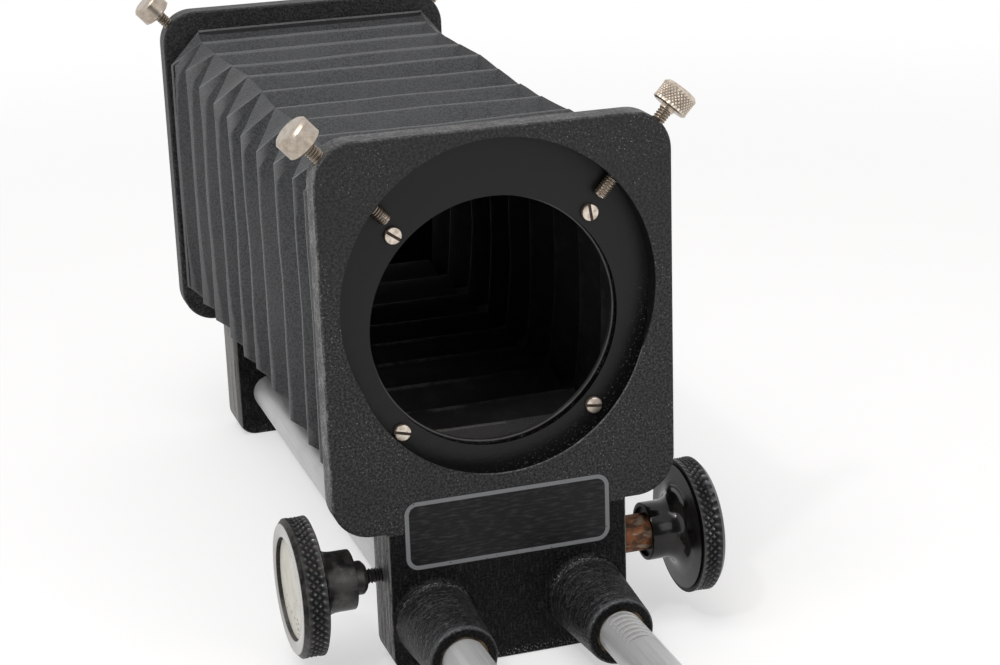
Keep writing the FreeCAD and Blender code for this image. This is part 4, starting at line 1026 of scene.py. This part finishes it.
def knob(name, side, socket_radius, body, node, finish):
    """Turned knob: hub with a counterbore, flared web, groove, diamond rim and a dished face."""
    low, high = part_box(node)
    hub, face = sorted((abs(low.x), abs(high.x)))
    radius = (high.z - low.z) / 2
    rim = face - KNOB_RIM_WIDTH
    groove = rim + KNOB_WEB_DISH
    knurl_start, knurl_end = groove + KNOB_GROOVE_WIDTH, face - KNOB_FACE_BEVEL
    dish = face - KNOB_DISH_DEPTH
    socket_end = dish - KNOB_SOCKET_FLOOR
    bm = bmesh.new()
    lathe = Lathe(bm, AXLE_CENTRE, X_AXIS * side, 2 * KNOB_DIAMONDS)
    lathe.turned([
        (socket_end, 0.0),
        (socket_end, socket_radius),
        (hub + KNOB_BORE_DEPTH, socket_radius),
        (hub + KNOB_BORE_DEPTH, KNOB_BORE_RADIUS),
        (hub + KNOB_HUB_ROUND / 2, KNOB_BORE_RADIUS),
        (hub, KNOB_BORE_RADIUS + KNOB_HUB_ROUND / 2),
        (hub, KNOB_HUB_RADIUS - KNOB_HUB_ROUND),
        (hub + KNOB_HUB_ROUND / 3, KNOB_HUB_RADIUS - KNOB_HUB_ROUND / 3),
        (hub + KNOB_HUB_ROUND, KNOB_HUB_RADIUS),
    ] + flare_profile(rim - KNOB_WEB_DISH, KNOB_HUB_RADIUS, groove, KNOB_WEB_RADIUS, KNOB_FLARE) + [
        (groove, KNOB_WEB_RADIUS),
        (groove, KNOB_GROOVE_RADIUS),
        (knurl_start, KNOB_GROOVE_RADIUS),
    ] + band(knurl_start, knurl_end, radius, KNOB_KNURL_ROWS) + [
        (face - KNOB_HUB_ROUND * 0.5, radius - KNOB_FACE_BEVEL + KNOB_HUB_ROUND * 0.3),
        (face, radius - KNOB_FACE_BEVEL - KNOB_HUB_ROUND * 0.4),
        (face, KNOB_DISH_RADIUS + KNOB_HUB_ROUND),
        (face - KNOB_HUB_ROUND * 0.3, KNOB_DISH_RADIUS + KNOB_HUB_ROUND * 0.3),
        (face - KNOB_HUB_ROUND, KNOB_DISH_RADIUS),
        (dish, KNOB_DISH_RADIUS),
        (dish, 0.0),
    ])
    lathe.knurled(knurl_start, knurl_end, radius, KNOB_KNURL_ROWS, KNOB_KNURL_DEPTH)
    stand_in(finished(name, bm, [finish]), body, [node])


def thumbscrew(name, body, node, finish, knurl_depth):
    """Threaded screw with a knurled head, pointing at the optical axis."""
    along = Vector(joints[body + "_slide"]["axis"])
    low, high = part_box(node)
    centre = Vector((0, (low.y + high.y) / 2, 0))
    head_end = CLAMP_HEAD + CLAMP_HEAD_HEIGHT
    knurl_start = CLAMP_HEAD + CLAMP_FOOT_CHAMFER
    knurl_end = head_end - CLAMP_TOP_CHAMFER
    core = thread_core(CLAMP_THREAD_RADIUS, CLAMP_THREAD_PITCH)
    thread_end = CLAMP_HEAD - CLAMP_SHOULDER_LENGTH
    bm = bmesh.new()
    lathe = Lathe(bm, centre, along, 2 * CLAMP_DIAMONDS)
    lathe.turned([
        (CLAMP_TIP, 0.0),
        (CLAMP_TIP, core - CLAMP_POINT / 2),
        (CLAMP_TIP + CLAMP_POINT / 2, core),
        (thread_end, core),
        (thread_end, CLAMP_SHOULDER_RADIUS - CLAMP_POINT / 2),
        (thread_end + CLAMP_POINT / 2, CLAMP_SHOULDER_RADIUS),
        (CLAMP_HEAD, CLAMP_SHOULDER_RADIUS),
        (CLAMP_HEAD, CLAMP_HEAD_RADIUS - CLAMP_FOOT_CHAMFER * 1.5),
    ] + band(knurl_start, knurl_end, CLAMP_HEAD_RADIUS, CLAMP_KNURL_ROWS) + [
        (head_end - CLAMP_TOP_CHAMFER * 0.2, CLAMP_HEAD_RADIUS - CLAMP_TOP_CHAMFER * 0.75),
        (head_end, CLAMP_HEAD_RADIUS - CLAMP_TOP_CHAMFER * 1.2),
        (head_end, CLAMP_HEAD_RADIUS * 0.4),
        (head_end, 0.0),
    ])
    lathe.knurled(knurl_start, knurl_end, CLAMP_HEAD_RADIUS, CLAMP_KNURL_ROWS, knurl_depth)
    lathe.threaded(CLAMP_TIP + CLAMP_POINT, thread_end, CLAMP_THREAD_RADIUS, CLAMP_THREAD_PITCH)
    stand_in(finished(name, bm, [finish]), body, [node])


def lock_stud(finish):
    """The lock knob's threaded stud with its rough collar, which stands in the knob's counterbore."""
    knob_low, knob_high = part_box("lock_knob")
    collar_end = KNOB_BORE_DEPTH - knob_high.x
    stud_end = -knob_low.x - KNOB_DISH_DEPTH - KNOB_SOCKET_FLOOR
    core = thread_core(STUD_RADIUS, STUD_PITCH)
    bm = bmesh.new()
    lathe = Lathe(bm, AXLE_CENTRE, -X_AXIS, STUD_STEPS)
    lathe.turned([
        (STUD_TIP, 0.0),
        (STUD_TIP, core),
        (COLLAR_START, core),
        (COLLAR_START, COLLAR_RADIUS * 0.72),
        (COLLAR_START + COLLAR_RADIUS * 0.05, COLLAR_RADIUS * 0.8),
        (COLLAR_START + COLLAR_RADIUS * 0.2, COLLAR_RADIUS * 0.97),
        (COLLAR_START + COLLAR_RADIUS * 0.3, COLLAR_RADIUS),
        (collar_end, COLLAR_RADIUS),
        (collar_end, STUD_RADIUS),
        (stud_end, STUD_RADIUS),
        (stud_end, 0.0),
    ])
    lathe.threaded(STUD_TIP + STUD_PITCH / 2, COLLAR_START, STUD_RADIUS, STUD_PITCH)
    stand_in(finished("lock_stud_threaded", bm, [finish]), "lock", ["lock_screw"])


# ---------------- studio

def floor():
    bm = bmesh.new()
    bmesh.ops.create_grid(bm, x_segments=1, y_segments=1, size=PAPER_WIDTH)
    bmesh.ops.translate(bm, vec=(0, 0, FLOOR_LEVEL), verts=bm.verts)
    finished("floor", bm, [paper("paper_sweep")])


def surroundings():
    """White to the camera. Polished surfaces also see its dark side, and the rest sees even grey."""
    world = bpy.data.worlds.new("studio")
    world.use_nodes = True
    bpy.context.scene.world = world
    nodes = Nodes(world.node_tree, "Background")
    camera_ray, glossy_ray = nodes.rays("Is Camera Ray", "Is Glossy Ray")
    towards = nodes.node("TexCoord", {}, {}, "Generated")
    facing = nodes.node("VectorMath", {"operation": "DOT_PRODUCT"}, {0: towards, 1: DARK_SIDE}, "Value")
    reflected = nodes.mixed(facing.step(DARK_SIDE_EDGE, DARK_SIDE_CORE), grey(1.0), grey(0.12))
    around = nodes.mixed(glossy_ray, grey(0.55), reflected)
    nodes.vary({"Color": nodes.mixed(camera_ray, around, grey(1.0))})


def lamps():
    for name, place, width, power in LAMPS:
        lamp = bpy.data.lights.new(name, "AREA")
        lamp.energy = power
        lamp.size = width
        holder = placed(name, lamp)
        holder.location = place
        holder.rotation_euler = (LAMP_AIM - Vector(place)).to_track_quat("-Z", "Y").to_euler()


def camera():
    """Lens and stand worked out from the plates' edges and the round openings."""
    back = Vector((math.sin(CAMERA_TURN) * math.cos(CAMERA_HEIGHT),
                   -math.cos(CAMERA_TURN) * math.cos(CAMERA_HEIGHT), math.sin(CAMERA_HEIGHT)))
    level = Vector((math.cos(CAMERA_TURN), math.sin(CAMERA_TURN), 0))
    upright = back.cross(level)
    right = level * math.cos(CAMERA_ROLL) + upright * math.sin(CAMERA_ROLL)
    up = upright * math.cos(CAMERA_ROLL) - level * math.sin(CAMERA_ROLL)
    lens = bpy.data.cameras.new("camera")
    lens.lens = CAMERA_LENS
    lens.sensor_width = CAMERA_SENSOR
    lens.clip_start = 10 * MM
    stand = placed("camera", lens)
    stand.matrix_world = Matrix([*zip(right, up, back, CAMERA_PLACE), (0, 0, 0, 1)])
    bpy.context.scene.camera = stand


# ---------------- the unit

def finish_solids():
    """Gives each solid that stays its finish."""
    front_paint = crackle_paint("front_crackle_paint", outer_face=0.0, inwards=1.0,
                                ground_and_lit_side_tone=0.02, wear=1.0, side_wrap=0.15)
    rear_paint = crackle_paint("rear_crackle_paint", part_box("rear_standard")[1].y / MM, inwards=-1.0,
                               ground_and_lit_side_tone=0.19, wear=0.0, side_wrap=0.9)
    for finish, nodes in (
            (front_paint, ["front_standard"]),
            (rear_paint, ["rear_standard"]),
            (satin_paint("satin_black_paint"), ["front_bellows_frame", "rear_bellows_frame"]),
            (slotted_nickel("frame_screw_nickel"), ["front_frame_screws", "rear_frame_screws"]),
            (bordered_plate("bordered_plate"), ["label_plate"]),
            (ground_steel("rail_steel_plain", with_rack=False), ["rail_left"]),
            (ground_steel("rail_steel_rack", with_rack=True), ["rail_right_rack"]),
            # the rail bushes: brass coloured nearly black
            (turned_brass("darkened_brass", (0.12, 0.085, 0.05, 1), (0.03, 0.022, 0.016, 1)),
             ["rail_bush_left", "rail_bush_right"]),
            (turned_brass("turned_brass", (0.56, 0.4, 0.19, 1), (0.3, 0.19, 0.09, 1)),
             ["pinion_shaft_bush", "pinion_gear", "tripod_bush"]),
            (rusty_steel("rusty_steel"), ["pinion_shaft"]),
            (ivory_disc("ivory_disc"), ["focus_knob_disc", "lock_knob_disc"]),
            (dark_steel("blackened_steel"), ["focus_knob_set_screw", "rail_grub_screws", "lock_pad"])):
        for node in nodes:
            frame["nodes"][node].material_slots[0].material = finish.material


def fittings():
    """Knobs, thumbscrews and the lock stud."""
    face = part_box("focus_knob")[1].x / MM
    knob("drive_knob_knurled", RIGHT, SHAFT_RADIUS, "pinion", "focus_knob",
         black_moulding("drive_knob_black", wear=0.1, face=face))
    worn_black = black_moulding("lock_knob_black", wear=0.7, face=face)
    knob("lock_knob_knurled", LEFT, STUD_RADIUS, "lock", "lock_knob", worn_black)
    lock_stud(worn_black)
    # the left thumbscrews are greasy and worn nearly smooth
    greasy = dull_nickel("thumbscrew_greasy_nickel", tone=0.42, grime=0.6)
    bright = dull_nickel("thumbscrew_nickel", tone=0.57, grime=0.7)
    heads = (("left", greasy, CLAMP_WORN_KNURL_DEPTH), ("right", bright, CLAMP_KNURL_DEPTH))
    for plate in ("front", "rear"):
        for side, finish, knurl_depth in heads:
            thumbscrew("thumbscrew_%s_%s" % (plate, side), "%s_clamp_%s" % (plate, side),
                       "%s_clamp_screw_%s" % (plate, side), finish, knurl_depth)


floor()
surroundings()
lamps()
camera()
finish_solids()
fittings()
pleated_cloth(leathercloth("bellows_leathercloth"), lining("bellows_lining"))

bpy.context.scene.view_settings.view_transform = "Standard"
